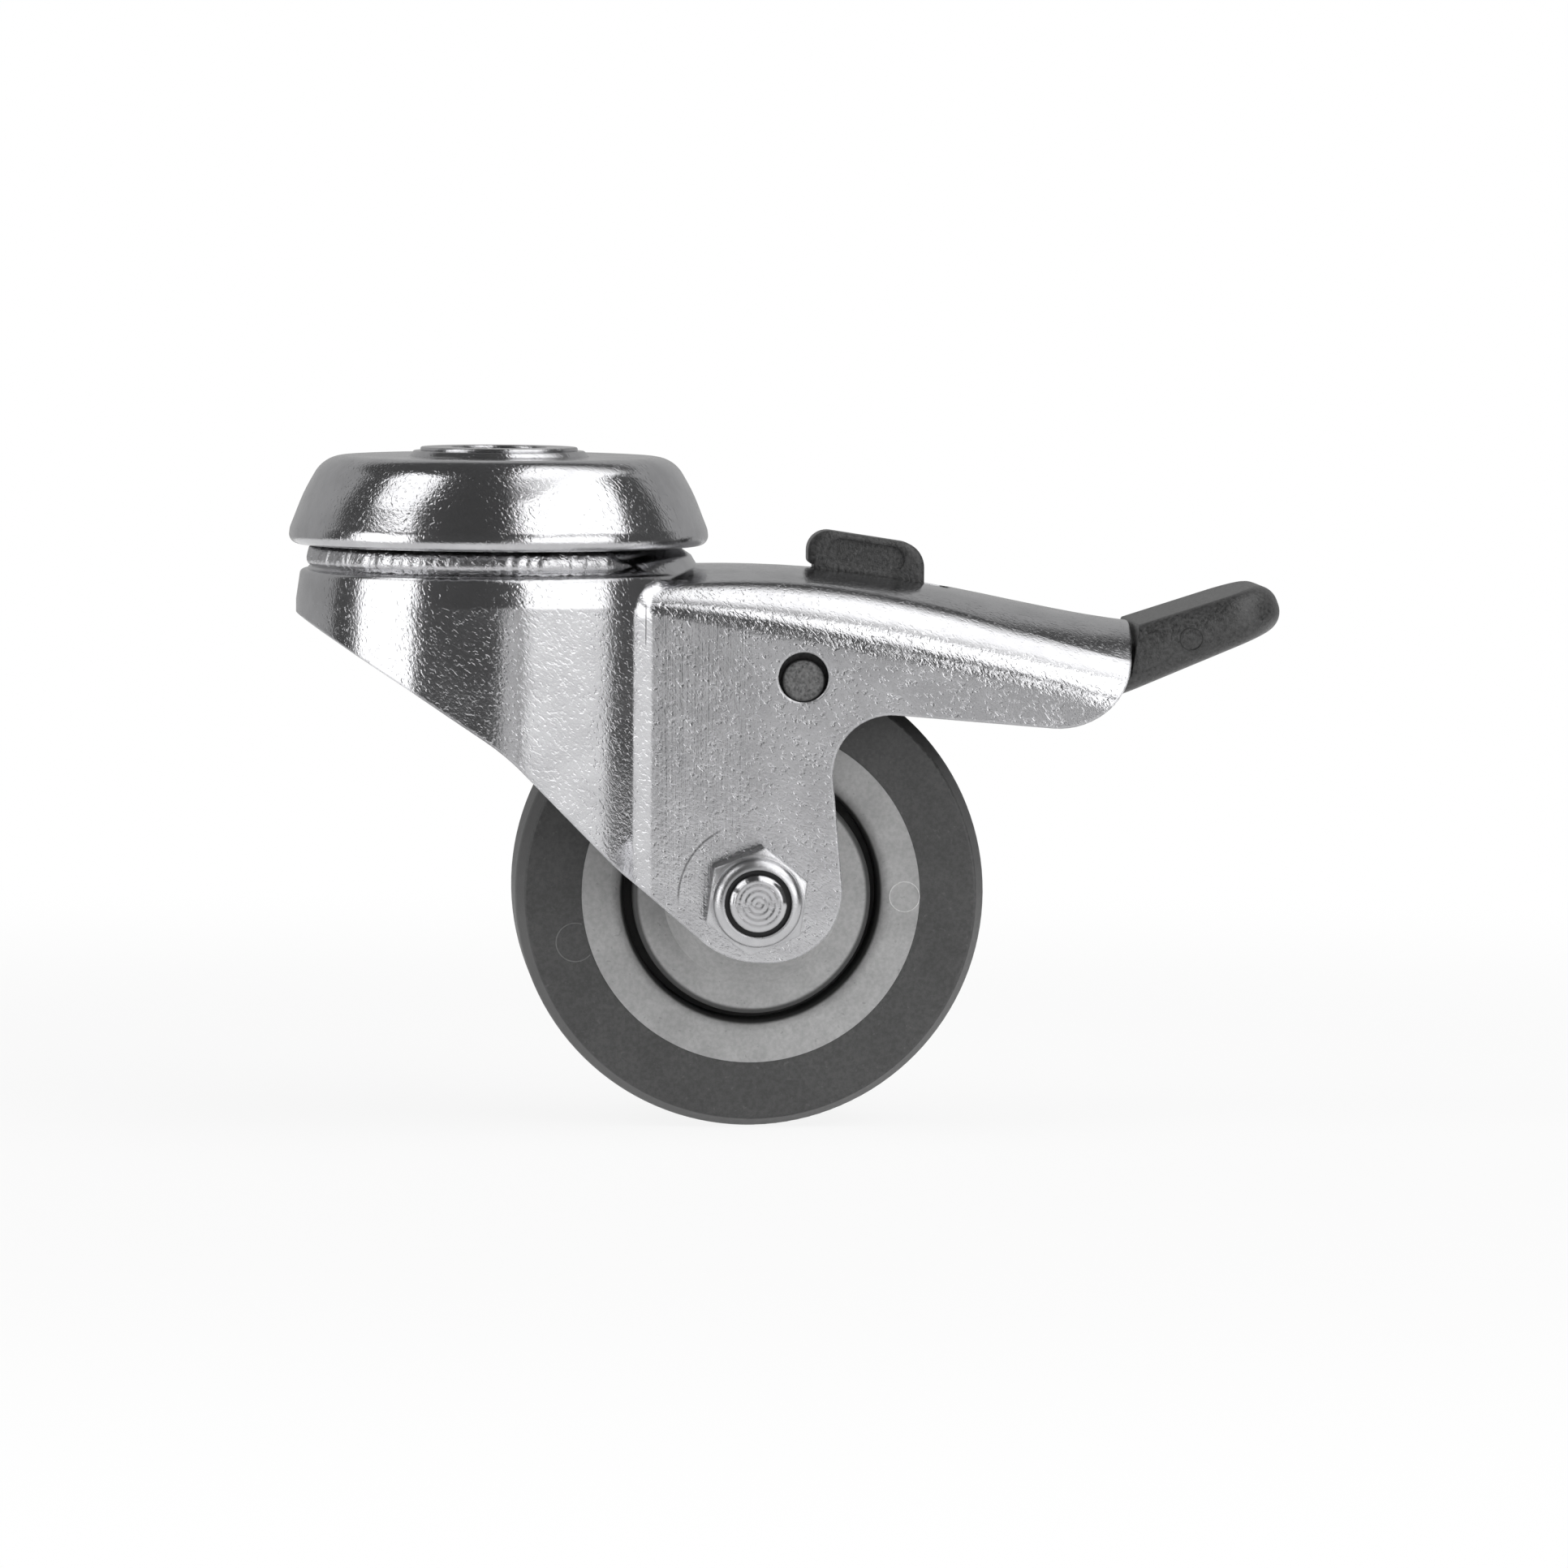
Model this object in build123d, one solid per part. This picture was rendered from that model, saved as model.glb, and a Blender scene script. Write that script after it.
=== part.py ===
"""Bolt-hole swivel castor, 50 mm wheel, pressed steel fork and a moulded foot brake.

Millimetres. The origin is on the swivel axis, at the top face of the hollow rivet's flange. +Z is up,
+X points from the swivel axis to the wheel and the brake pedal, and the axle lies along Y.
"near" is the -Y side, where the lock nut is, and "far" is the +Y side, where the bolt's head is.
"""
import os
from math import atan2, cos, degrees, hypot, pi, radians, sin, sqrt, tan

from build123d import *

# Whole castor; the total height of 72.1 follows from the stack of head, fork and wheel
TRAIL = 26.7
WHEEL_DIAMETER = 50.0
TYRE_WIDTH = 18.0
TYRE_BELOW_CREST = 9.65

# Clearances
RUNNING_GAP = 0.05
SEAT_GAP = 0.02
SWIVEL_GAP = 0.3

# Hollow rivet
BOLT_HOLE = 10.2
RIVET_WALL = 1.2
RIVET_FLANGE_DIAMETER = 16.8
RIVET_FLANGE = 0.4
RIVET_FLARE_DIAMETER = 16.4
RIVET_FLARE = 1.8

# Cap, measured outwards from the fork's head
CAP_SHEET = 1.5
CAP_BOSS_DIAMETER = 18.2
CAP_BOSS = 0.55
CAP_OVERHANG = 0.45
CAP_FLARE = 3.7
CAP_WALL_DROP = 7.7
CAP_BELLY = 0.35
CAP_BELLY_RADIUS = 18.0
CAP_RIM_FLARE = 0.2
CAP_HEIGHT = 9.4
CAP_SHOULDER = 3.6
CAP_SIDE_ROUND = 2.0
CAP_RIM_ROUND = 1.0

# Swivel balls
UPPER_BALL = 5.0
UPPER_BALL_COUNT = 12
LOWER_BALL = 4.0
LOWER_BALL_COUNT = 10
LOWER_BALL_CIRCLE = 23.0
RACE_DEPTH = 0.4
LOWER_RACE_DIAMETER = 28.4
LOWER_RACE_SHEET = 1.8

# Fork head, from its round front inwards and from its top down
FORK_SHEET = 2.0
FORK_GAP = 28.0
DRUM_DIAMETER = 43.2
DRUM_DRAFT = 0.45
DRUM_LEDGE = 0.65
STEP_FLARE = 1.45
HEAD_LEAN = 0.9
HEAD_ROUND = 0.6
DRUM_ROUND = 0.55
HEAD_STEP_DROP = 4.25
DRUM_DROP = 5.9
DRUM_DRAFT_DROP = 3.2
CREST_DROP = 5.3
FLANK_DROP = 3.47
FLANK_BACK = 3.95
FLANK_REACH = 21.2
FLANK_SLOPE = 0.6
FLANK_TOP_SLOPE = 1.5
FLANK_FOOT = 1.0
CREASE_ROUND = 4.5
CREASE_STEPS = 5

# Fork's lower edge: the skirt's two bends from the drum's front, then the leg from the axle
SKIRT_DROP = 10.5
SKIRT_BEND = (11.3, 7.1)
SKIRT_BEND_RADIUS = 60.0
SKIRT_END = (21.7, 13.95)
SKIRT_END_RADIUS = 25.0
LEG_BEND = (14.7, 3.3)
LEG_BEND_RADIUS = 30.0
LEG_FRONT = 2.93
LEG_FRONT_RADIUS = 9.6
LEG_BACK = 9.96
LEG_BACK_RADIUS = 7.65
LEG_END = 6.76
NOTCH_FROM_HOLE = (2.55, 3.4)
NOTCH_RADIUS = 6.2

# Fork's arm: flat-topped with tight corners at its root, a round arch at its tip
ARM_LENGTH = 40.7
ARM_SLOPE_DEG = 9.9
ARM_BEND = 8.0
ARM_END_DEPTH = 11.4
ARM_END_RADIUS = 8.0
ARM_ROOT_END = 9.3
ARM_ROOT_CROWN = 60.0
ARM_ROOT_CORNER = 3.7
ARM_WAIST = 2.7
ARM_WAIST_CROWN = 50.0
ARM_WAIST_CORNER = 6.3
ARM_MIDDLE_CROWN = 30.0
ARM_MIDDLE_CORNER = 7.2
ARM_TIP_CROWN = 22.0
ARM_TIP_CORNER = 8.0

# Axle
AXLE_DIAMETER = 6.0
AXLE_HOLE_GAP = 0.1
AXLE_CHAMFER = 0.5
SLEEVE_DIAMETER = 8.0
SLEEVE_BORE_GAP = 0.1
NUT_ACROSS_FLATS = 10.0
NUT_HEX_HEIGHT = 4.3
NUT_CHAMFER_DEG = 30.0
NUT_COLLAR_HEIGHT = 1.9
NUT_COLLAR_STEP = 0.3
NUT_COLLAR_ROUND = 1.1
NUT_TURN_DEG = 8.0
INSERT_DIAMETER = 7.1
INSERT_DEPTH = 1.7
INSERT_SET_BACK = 0.8
BOLT_HEAD_HEIGHT = 4.0
BOLT_END = 0.6

# Wheel
RIM_DIAMETER = 36.0
RIM_PROUD = 0.1
RIM_RIB_DIAMETER = 40.0
RIM_RIB_WIDTH = 6.0
RIM_FACE_DIAMETER = 28.8
RIM_RECESS_DIAMETER = 27.0
RIM_RECESS_ROUND = 1.4
RIM_LIP = 0.7
TYRE_CROWN = 1.0
TYRE_SHOULDER = 2.6
TYRE_EDGE_ROUND = 0.35
GUARD_DIAMETER = 25.3
GUARD_DISC = 2.4
GUARD_STANDOFF = 3.4
GUARD_BOSS_DIAMETER = 12.0
GUARD_EDGE_ROUND = 0.7

# Wheel bearing
BEARING_DIAMETER = 22.0
BEARING_WIDTH = 7.0
BEARING_BALL = 4.0
BEARING_BALL_COUNT = 7
BEARING_TRACK_DEPTH = 0.35
SHIELD_SHEET = 0.4
SHIELD_SET_BACK = 0.25
CAGE_RADIAL = 1.3
CAGE_BACK = 0.57
CAGE_FINGER = 1.0

# Brake lever; the hole's place is from the axle and from the tyre's top
BRAKE_DEG = 12.0
HOLE_FROM_AXLE = 5.0
HOLE_BELOW_TYRE = 1.55
PIVOT_HOLE = 5.3
PIVOT_BOSS = 4.4
PIVOT_RECESS = 0.3
LEVER_GAP = 0.5
LEVER_EYE = 8.6
LEVER_CHEEK = 3.0
LEVER_NOSE = 2.15
LEVER_NOSE_ROUND = 1.0
LEVER_CORE_WIDTH = 21.0
LEVER_WALL = 2.0
TYRE_CLEARANCE = 1.1
SHOE_GAP = 0.3
SHOE_START = 0.5
SHOE_END = (15.0, 6.0)
SHOE_BACK = (16.2, 2.6)
SHOE_BACK_ROUND = 1.0
NECK_START = (18.5, 0.2)
NECK_ROUND = 2.0
PEDAL_WIDTH = 22.0
PEDAL_THICKNESS = 6.35
PEDAL_TAPER_DEG = 4.9
PEDAL_REACH = 16.75
PEDAL_ROOT = 6.5
PEDAL_DROP = 3.64
PEDAL_TILT_DEG = 20.3
PEDAL_CORNER = 6.0
PEDAL_EDGE_ROUND = 2.3
PEDAL_GAP = 0.5
TAB_FROM_PIVOT = 1.3
TAB_WIDTH = 4.6
TAB_LENGTH = 12.5
TAB_HEIGHT = 4.1
TAB_FALL = 1.9
TAB_HOOK = 0.65
TAB_HOOK_GAP = 0.12
TAB_FRONT_ROUND = 2.2
TAB_BACK_ROUND = 2.8
TAB_EDGE_ROUND = 0.6
TAB_PANEL_LENGTH = 8.3
TAB_PANEL_WIDTH = 2.8
TAB_PANEL_DEPTH = 0.3
SLOT_SIDE_GAP = 0.4
SLOT_FRONT_GAP = 0.3

# Radii, heights and places that follow from the sizes above
wheel_r = WHEEL_DIAMETER / 2
drum_r = DRUM_DIAMETER / 2
drum_top_r = drum_r - DRUM_DRAFT
head_base_r = drum_top_r - DRUM_LEDGE
head_step_r = head_base_r - STEP_FLARE
head_top_r = head_step_r - HEAD_LEAN
cap_top_r = head_top_r + CAP_OVERHANG
cap_side_r = cap_top_r + CAP_FLARE
cap_rim_r = cap_side_r + CAP_RIM_FLARE
cap_boss_z = -RIVET_FLANGE
cap_top_z = cap_boss_z - CAP_BOSS
cap_under_z = cap_top_z - CAP_SHEET
cap_rim_z = cap_top_z - CAP_HEIGHT
rivet_r = BOLT_HOLE / 2 + RIVET_WALL
cap_lean = CAP_FLARE / CAP_WALL_DROP
cap_lean_sec = hypot(1, cap_lean)
upper_ball_r = UPPER_BALL / 2
upper_ball_z = cap_under_z - upper_ball_r - RUNNING_GAP
cap_wall_r = cap_top_r + cap_lean * (cap_top_z - upper_ball_z) - CAP_SHEET * cap_lean_sec
upper_circle_r = cap_wall_r - (upper_ball_r + RUNNING_GAP) * cap_lean_sec
head_top_z = upper_ball_z - upper_ball_r - RUNNING_GAP + RACE_DEPTH
head_under_z = head_top_z - FORK_SHEET
lower_ball_r = LOWER_BALL / 2
lower_ball_z = head_under_z - lower_ball_r - RUNNING_GAP
lower_race_z = lower_ball_z - lower_ball_r - RUNNING_GAP + RACE_DEPTH
rivet_seat_z = lower_race_z - LOWER_RACE_SHEET
rivet_end_z = rivet_seat_z - RIVET_FLARE
head_step_z = head_top_z - HEAD_STEP_DROP
drum_top_z = head_top_z - DRUM_DROP
crest_z = head_top_z - CREST_DROP
skirt_z = head_top_z - SKIRT_DROP
tyre_top_z = crest_z - TYRE_BELOW_CREST
axle_x = TRAIL
axle_z = tyre_top_z - wheel_r
leg_half = FORK_GAP / 2 + FORK_SHEET
leg_end_z = axle_z - LEG_END
fork_floor_z = leg_end_z - wheel_r
tyre_half = TYRE_WIDTH / 2
bearing_half = BEARING_WIDTH / 2
nut_end_y = -leg_half - NUT_HEX_HEIGHT - NUT_COLLAR_HEIGHT
bearing_circle_r = (SLEEVE_DIAMETER + BEARING_DIAMETER) / 4
ring_gap = BEARING_BALL - 2 * BEARING_TRACK_DEPTH
inner_ring_r = bearing_circle_r - ring_gap / 2
outer_ring_r = bearing_circle_r + ring_gap / 2
shield_y = bearing_half - SHIELD_SET_BACK - SHIELD_SHEET
arm_x = axle_x + ARM_BEND
arm_end_x = axle_x + ARM_LENGTH
arm_slope = tan(radians(ARM_SLOPE_DEG))
arm_end_z = crest_z - arm_slope * (arm_end_x - arm_x)
hole_x = axle_x + HOLE_FROM_AXLE
hole_z = tyre_top_z - HOLE_BELOW_TYRE
pivot_x = hole_x
pivot_z = hole_z - (PIVOT_HOLE - PIVOT_BOSS) / 2 + RUNNING_GAP
lever_under_z = tyre_top_z + TYRE_CLEARANCE
pedal_z = arm_end_z - PEDAL_DROP
tab_x = pivot_x + TAB_FROM_PIVOT
tab_swing = (crest_z - pivot_z) * sin(radians(BRAKE_DEG)) + SLOT_FRONT_GAP


def outline(*corners):
    """Closed face from (x, y) corners; a third value rounds that corner to its radius."""
    face = make_face(Polyline([corner[:2] for corner in corners], close=True))
    for corner in corners:
        if len(corner) == 3:
            vertex = face.vertices().sort_by_distance((corner[0], corner[1], 0))[0]
            face = fillet(vertex, corner[2])
    return face


def turned_z(*corners):
    """Solid turned about the swivel axis from (radius, z) corners."""
    return revolve(Plane.XZ * outline(*corners), Axis.Z)


def turned_axle(*corners):
    """Solid turned about the axle from (radius, y) corners."""
    return Pos(axle_x, 0, axle_z) * revolve(outline(*corners), Axis.Y)


def slab(face, low_y, high_y):
    """Side-view face (x, z) pulled along the axle from low_y to high_y."""
    plane = Plane((0, high_y, 0), x_dir=(1, 0, 0), z_dir=(0, -1, 0))
    return extrude(plane * face, high_y - low_y)


def ball_ring(count, radius, circle_r):
    """Separate balls, evenly spaced on a circle about Z."""
    return [place * Sphere(radius) for place in PolarLocations(circle_r, count)]


def hexagon(across_flats, turn_deg):
    """Hexagon face in the side view, one corner turned clockwise from straight up."""
    return Rot(0, 0, 90 - turn_deg) * RegularPolygon(across_flats / sqrt(3), 6)


def hollow_rivet():
    """Flanged tube, set over below the lower race."""
    bore_r = BOLT_HOLE / 2
    flange_r = RIVET_FLANGE_DIAMETER / 2
    flare_r = RIVET_FLARE_DIAMETER / 2
    return turned_z(
        (bore_r, 0),
        (flange_r, 0, RIVET_FLANGE / 2),
        (flange_r, cap_boss_z),
        (rivet_r, cap_boss_z),
        (rivet_r, rivet_seat_z),
        (flare_r, rivet_seat_z),
        (flare_r, rivet_end_z, RIVET_FLARE / 2),
        (bore_r, rivet_end_z),
    )


def top_cap():
    """Pressed dish; its inside corner is the upper ball race."""
    hole_r = rivet_r + SEAT_GAP
    boss_r = CAP_BOSS_DIAMETER / 2
    side_z = cap_top_z - CAP_WALL_DROP
    wall = CAP_SHEET * cap_lean_sec
    under_r = cap_top_r + cap_lean * CAP_SHEET - wall
    belly_r = (cap_top_r + cap_side_r) / 2 + CAP_BELLY
    belly_z = (cap_top_z + side_z) / 2
    return turned_z(
        (hole_r, cap_boss_z),
        (boss_r, cap_boss_z, CAP_BOSS / 3),
        (boss_r + CAP_BOSS, cap_top_z),
        (cap_top_r, cap_top_z, CAP_SHOULDER),
        (belly_r, belly_z, CAP_BELLY_RADIUS),
        (cap_side_r, side_z, CAP_SIDE_ROUND),
        (cap_rim_r, cap_rim_z, CAP_RIM_ROUND),
        (cap_rim_r - CAP_SHEET, cap_rim_z),
        (cap_side_r - wall, side_z),
        (under_r, cap_under_z, CAP_SHOULDER - CAP_SHEET),
        (boss_r, cap_under_z),
        (boss_r - CAP_BOSS, cap_boss_z - CAP_SHEET),
        (hole_r, cap_boss_z - CAP_SHEET),
    )


def upper_balls():
    """Balls between the cap and the fork's head."""
    ring = ball_ring(UPPER_BALL_COUNT, upper_ball_r, upper_circle_r)
    return Compound(children=[Pos(0, 0, upper_ball_z) * ball for ball in ring])


def lower_balls():
    """Balls between the fork's head and the lower race."""
    ring = ball_ring(LOWER_BALL_COUNT, lower_ball_r, LOWER_BALL_CIRCLE / 2)
    return Compound(children=[Pos(0, 0, lower_ball_z) * ball for ball in ring])


def lower_race():
    """Race washer, clamped to the cap by the set-over rivet."""
    hole_r = rivet_r + SEAT_GAP
    edge_r = LOWER_RACE_DIAMETER / 2
    washer = turned_z(
        (hole_r, lower_race_z),
        (edge_r, lower_race_z, LOWER_RACE_SHEET / 4),
        (edge_r, rivet_seat_z, LOWER_RACE_SHEET / 4),
        (hole_r, rivet_seat_z),
    )
    return washer - Pos(0, 0, lower_ball_z) * Torus(LOWER_BALL_CIRCLE / 2, lower_ball_r + RUNNING_GAP)


def arm_stations():
    """Sections along the fork's arm: x, crest height, crown radius and corner radius."""
    root_x = axle_x - ARM_ROOT_END
    waist_x = axle_x + ARM_WAIST
    end_x = arm_end_x + 2 * PEDAL_GAP
    middle_x = (arm_x + end_x) / 2
    middle_z = crest_z - arm_slope * (middle_x - arm_x)
    end_z = crest_z - arm_slope * (end_x - arm_x)
    return [
        (0, crest_z, ARM_ROOT_CROWN, ARM_ROOT_CORNER),
        (root_x, crest_z, ARM_ROOT_CROWN, ARM_ROOT_CORNER),
        (waist_x, crest_z, ARM_WAIST_CROWN, ARM_WAIST_CORNER),
        (middle_x, middle_z, ARM_MIDDLE_CROWN, ARM_MIDDLE_CORNER),
        (end_x, end_z, ARM_TIP_CROWN, ARM_TIP_CORNER),
    ]


def arm_section(station, inset):
    """Arch of three arcs on two upright walls, drawn a given distance inside the fork's outer skin."""
    x, crest, crown_r, corner_r = station
    half = leg_half - inset
    crown_r -= inset
    corner_r = max(corner_r - inset, LEVER_GAP)
    crown_z = crest - inset - crown_r
    corner_y = half - corner_r
    corner_z = crown_z + sqrt((crown_r - corner_r) ** 2 - corner_y**2)
    lean = atan2(corner_z - crown_z, corner_y)
    join_y = crown_r * cos(lean)
    join_z = crown_z + crown_r * sin(lean)
    bulge_y = corner_y + corner_r * cos(lean / 2)
    bulge_z = corner_z + corner_r * sin(lean / 2)
    arch = [
        Line((-half, fork_floor_z), (-half, corner_z)),
        ThreePointArc((-half, corner_z), (-bulge_y, bulge_z), (-join_y, join_z)),
        ThreePointArc((-join_y, join_z), (0, crest - inset), (join_y, join_z)),
        ThreePointArc((join_y, join_z), (bulge_y, bulge_z), (half, corner_z)),
        Line((half, corner_z), (half, fork_floor_z)),
        Line((half, fork_floor_z), (-half, fork_floor_z)),
    ]
    plane = Plane((x, 0, 0), x_dir=(0, 1, 0), z_dir=(1, 0, 0))
    return plane * make_face(arch)


def arm_solid(inset):
    """The fork's arm and legs as a solid block, a given distance inside its outer skin."""
    return loft([arm_section(station, inset) for station in arm_stations()])


def drum_solid(inset):
    """The fork's round front with its raised ball track, a given distance inside its outer skin."""
    draft_z = drum_top_z - DRUM_DRAFT_DROP
    return turned_z(
        (0, head_top_z - inset),
        (head_top_r - inset / 2, head_top_z - inset, HEAD_ROUND),
        (head_step_r - inset, head_step_z - inset / 2),
        (head_base_r - inset, drum_top_z - inset),
        (drum_top_r - inset, drum_top_z - inset, DRUM_ROUND),
        (drum_r - inset, draft_z - inset),
        (drum_r - inset, fork_floor_z),
        (0, fork_floor_z),
    )


def crease_section(z):
    """Level section of the hollow round between drum and arm, cut a hair into both for a clean joint."""
    corner_z = arm_corner_z()
    rise = max(z - corner_z, 0)
    arm_y = leg_half - ARM_ROOT_CORNER + sqrt(max(ARM_ROOT_CORNER**2 - rise**2, 0))
    draft_z = drum_top_z - DRUM_DRAFT_DROP
    wall_r = drum_r - DRUM_DRAFT * max(z - draft_z, 0) / DRUM_DRAFT_DROP
    centre_y = arm_y + CREASE_ROUND
    centre_x = sqrt((wall_r + CREASE_ROUND) ** 2 - centre_y**2)
    share = (wall_r - SEAT_GAP) / (wall_r + CREASE_ROUND)
    on_drum = (centre_x * share, centre_y * share)
    on_arm = (centre_x, arm_y - SEAT_GAP)
    drum_turn = atan2(on_drum[1] - centre_y, on_drum[0] - centre_x)
    middle_turn = (drum_turn - pi / 2) / 2
    bow = CREASE_ROUND + SEAT_GAP
    middle = (centre_x + bow * cos(middle_turn), centre_y + bow * sin(middle_turn))
    inside_y = arm_y - FORK_SHEET / 2
    edges = [
        ThreePointArc(on_drum, middle, on_arm),
        Line(on_arm, (on_arm[0], inside_y)),
        Line((on_arm[0], inside_y), (on_drum[0], inside_y)),
        Line((on_drum[0], inside_y), on_drum),
    ]
    return Pos(0, 0, z) * make_face(edges)


def arm_corner_z():
    """Height where the arm's upright wall ends and its corner starts, at the arm's root."""
    crown_z = crest_z - ARM_ROOT_CROWN
    corner_y = leg_half - ARM_ROOT_CORNER
    return crown_z + sqrt((ARM_ROOT_CROWN - ARM_ROOT_CORNER) ** 2 - corner_y**2)


def crease(side):
    """Hollow round between the drum and one side of the arm, up the leg and then round the corner."""
    corner_z = arm_corner_z()
    top_z = drum_top_z - DRUM_ROUND
    step = (top_z - corner_z) / CREASE_STEPS
    straight = extrude(crease_section(corner_z), fork_floor_z - corner_z, dir=(0, 0, 1))
    rounded = loft([crease_section(corner_z + step * count) for count in range(CREASE_STEPS + 1)])
    filler = straight + rounded
    return filler if side > 0 else mirror(filler, Plane.XZ)


def fork_outline():
    """Side view of the fork below its crown: skirt, leg, notch over the tyre, and arm."""
    front_x = -drum_r
    back_x = front_x - FORK_SHEET
    notch = (hole_x + NOTCH_FROM_HOLE[0], hole_z - NOTCH_FROM_HOLE[1])
    end_x = arm_end_x - arm_slope * ARM_END_DEPTH
    top_x = arm_end_x - arm_slope * arm_end_z
    bend = (front_x + SKIRT_BEND[0], skirt_z - SKIRT_BEND[1])
    skirt_slope = SKIRT_BEND[1] / SKIRT_BEND[0]
    return outline(
        (back_x, 0),
        (back_x, skirt_z + skirt_slope * FORK_SHEET),
        (*bend, SKIRT_BEND_RADIUS),
        (front_x + SKIRT_END[0], skirt_z - SKIRT_END[1], SKIRT_END_RADIUS),
        (axle_x - LEG_BEND[0], axle_z + LEG_BEND[1], LEG_BEND_RADIUS),
        (axle_x - LEG_FRONT, leg_end_z, LEG_FRONT_RADIUS),
        (axle_x + LEG_BACK, leg_end_z, LEG_BACK_RADIUS),
        (*notch, NOTCH_RADIUS),
        (end_x, arm_end_z - ARM_END_DEPTH, ARM_END_RADIUS),
        (top_x, 0),
    )


def fork_hollow():
    """Everything inside the fork's sheet."""
    return drum_solid(FORK_SHEET) + arm_solid(FORK_SHEET)


def rear_flank():
    """Slope from the ball track down to the arm's crest; its centre is set back, so it fades to the front."""
    crest_r = FLANK_REACH - FLANK_BACK
    top_z = head_top_z - FLANK_DROP
    foot_z = drum_top_z - FLANK_FOOT
    bend_r = crest_r - FLANK_SLOPE * (head_step_z - crest_z)
    cone = turned_z(
        (0, top_z),
        (bend_r - FLANK_TOP_SLOPE * (top_z - head_step_z), top_z),
        (bend_r, head_step_z),
        (crest_r + FLANK_SLOPE * (crest_z - foot_z), foot_z),
        (0, foot_z),
    )
    return Pos(FLANK_BACK, 0, 0) * cone


def axle_rod(diameter, low_y, high_y):
    """Round bar on the axle's line."""
    return turned_axle((0, low_y), (diameter / 2, low_y), (diameter / 2, high_y), (0, high_y))


def tab_slot():
    """Slot in the arm's crest for the lever's tab, long enough for its swing."""
    low_x = tab_x + TAB_HOOK - SLOT_FRONT_GAP
    high_x = tab_x + TAB_LENGTH + tab_swing
    width = TAB_WIDTH + 2 * SLOT_SIDE_GAP
    plan = RectangleRounded(high_x - low_x, width, 2 * SLOT_SIDE_GAP)
    return Pos((low_x + high_x) / 2, 0, crest_z - 2 * TAB_LENGTH) * extrude(plan, 4 * TAB_LENGTH)


def fork():
    """One pressing: raised ball track, round front, two legs and the arched brake arm."""
    skin = drum_solid(0) + rear_flank() + arm_solid(0) + crease(1) + crease(-1)
    skin = skin & slab(fork_outline(), -DRUM_DIAMETER, DRUM_DIAMETER)
    shell = skin - fork_hollow()
    shell -= Cylinder(rivet_r + SWIVEL_GAP, 2 * WHEEL_DIAMETER)
    shell -= Pos(0, 0, upper_ball_z) * Torus(upper_circle_r, upper_ball_r + RUNNING_GAP)
    shell -= axle_rod(AXLE_DIAMETER + 2 * AXLE_HOLE_GAP, -DRUM_DIAMETER, DRUM_DIAMETER)
    shell -= slab(Pos(hole_x, hole_z) * Circle(PIVOT_HOLE / 2), -DRUM_DIAMETER, DRUM_DIAMETER)
    return shell - tab_slot()


def hex_piece(low_y, high_y, chamfer_low, chamfer_high):
    """Hexagon bar on the axle's line, its corners turned off at either end."""
    corner_r = NUT_ACROSS_FLATS / sqrt(3)
    flat_r = NUT_ACROSS_FLATS / 2
    drop = (corner_r - flat_r) * tan(radians(NUT_CHAMFER_DEG))
    low_r = flat_r if chamfer_low else corner_r
    high_r = flat_r if chamfer_high else corner_r
    turned = turned_axle(
        (0, low_y),
        (low_r, low_y),
        (corner_r, low_y + drop),
        (corner_r, high_y - drop),
        (high_r, high_y),
        (0, high_y),
    )
    bar = slab(Pos(axle_x, axle_z) * hexagon(NUT_ACROSS_FLATS, NUT_TURN_DEG), low_y, high_y)
    return bar & turned


def axle_bolt():
    """Hexagon head bolt, its head on the far leg and its end through the lock nut."""
    end_y = nut_end_y - BOLT_END
    shank_r = AXLE_DIAMETER / 2
    shank = turned_axle(
        (0, end_y),
        (shank_r - AXLE_CHAMFER, end_y),
        (shank_r, end_y + AXLE_CHAMFER),
        (shank_r, leg_half),
        (0, leg_half),
    )
    return shank + hex_piece(leg_half, leg_half + BOLT_HEAD_HEIGHT, False, True)


def axle_nut():
    """Lock nut with a round collar, rolled over its nylon ring."""
    hex_end_y = -leg_half - NUT_HEX_HEIGHT
    collar_r = NUT_ACROSS_FLATS / 2 - NUT_COLLAR_STEP
    bore_r = AXLE_DIAMETER / 2 + SEAT_GAP
    lip_r = INSERT_DIAMETER / 2
    collar = turned_axle(
        (bore_r, hex_end_y + NUT_HEX_HEIGHT / 2),
        (collar_r, hex_end_y + NUT_HEX_HEIGHT / 2),
        (collar_r, nut_end_y, NUT_COLLAR_ROUND),
        (bore_r, nut_end_y),
    )
    body = hex_piece(hex_end_y, -leg_half, True, False) + collar
    body -= axle_rod(2 * bore_r, nut_end_y - BOLT_END, FORK_SHEET - leg_half)
    return body - axle_rod(2 * lip_r, nut_end_y - BOLT_END, nut_end_y + INSERT_DEPTH)


def nut_insert():
    """Nylon ring in the lock nut's collar, set back a little from its mouth."""
    bore_r = AXLE_DIAMETER / 2 + SEAT_GAP
    ring_r = INSERT_DIAMETER / 2 - SEAT_GAP
    low_y = nut_end_y + INSERT_SET_BACK
    high_y = nut_end_y + INSERT_DEPTH
    return turned_axle((bore_r, low_y), (ring_r, low_y), (ring_r, high_y), (bore_r, high_y))


def axle_sleeve():
    """Spacer tube that the bolt clamps between the two legs."""
    half = FORK_GAP / 2
    outer_r = SLEEVE_DIAMETER / 2
    inner_r = AXLE_DIAMETER / 2 + SLEEVE_BORE_GAP
    return turned_axle((inner_r, -half), (outer_r, -half), (outer_r, half), (inner_r, half))


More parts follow.
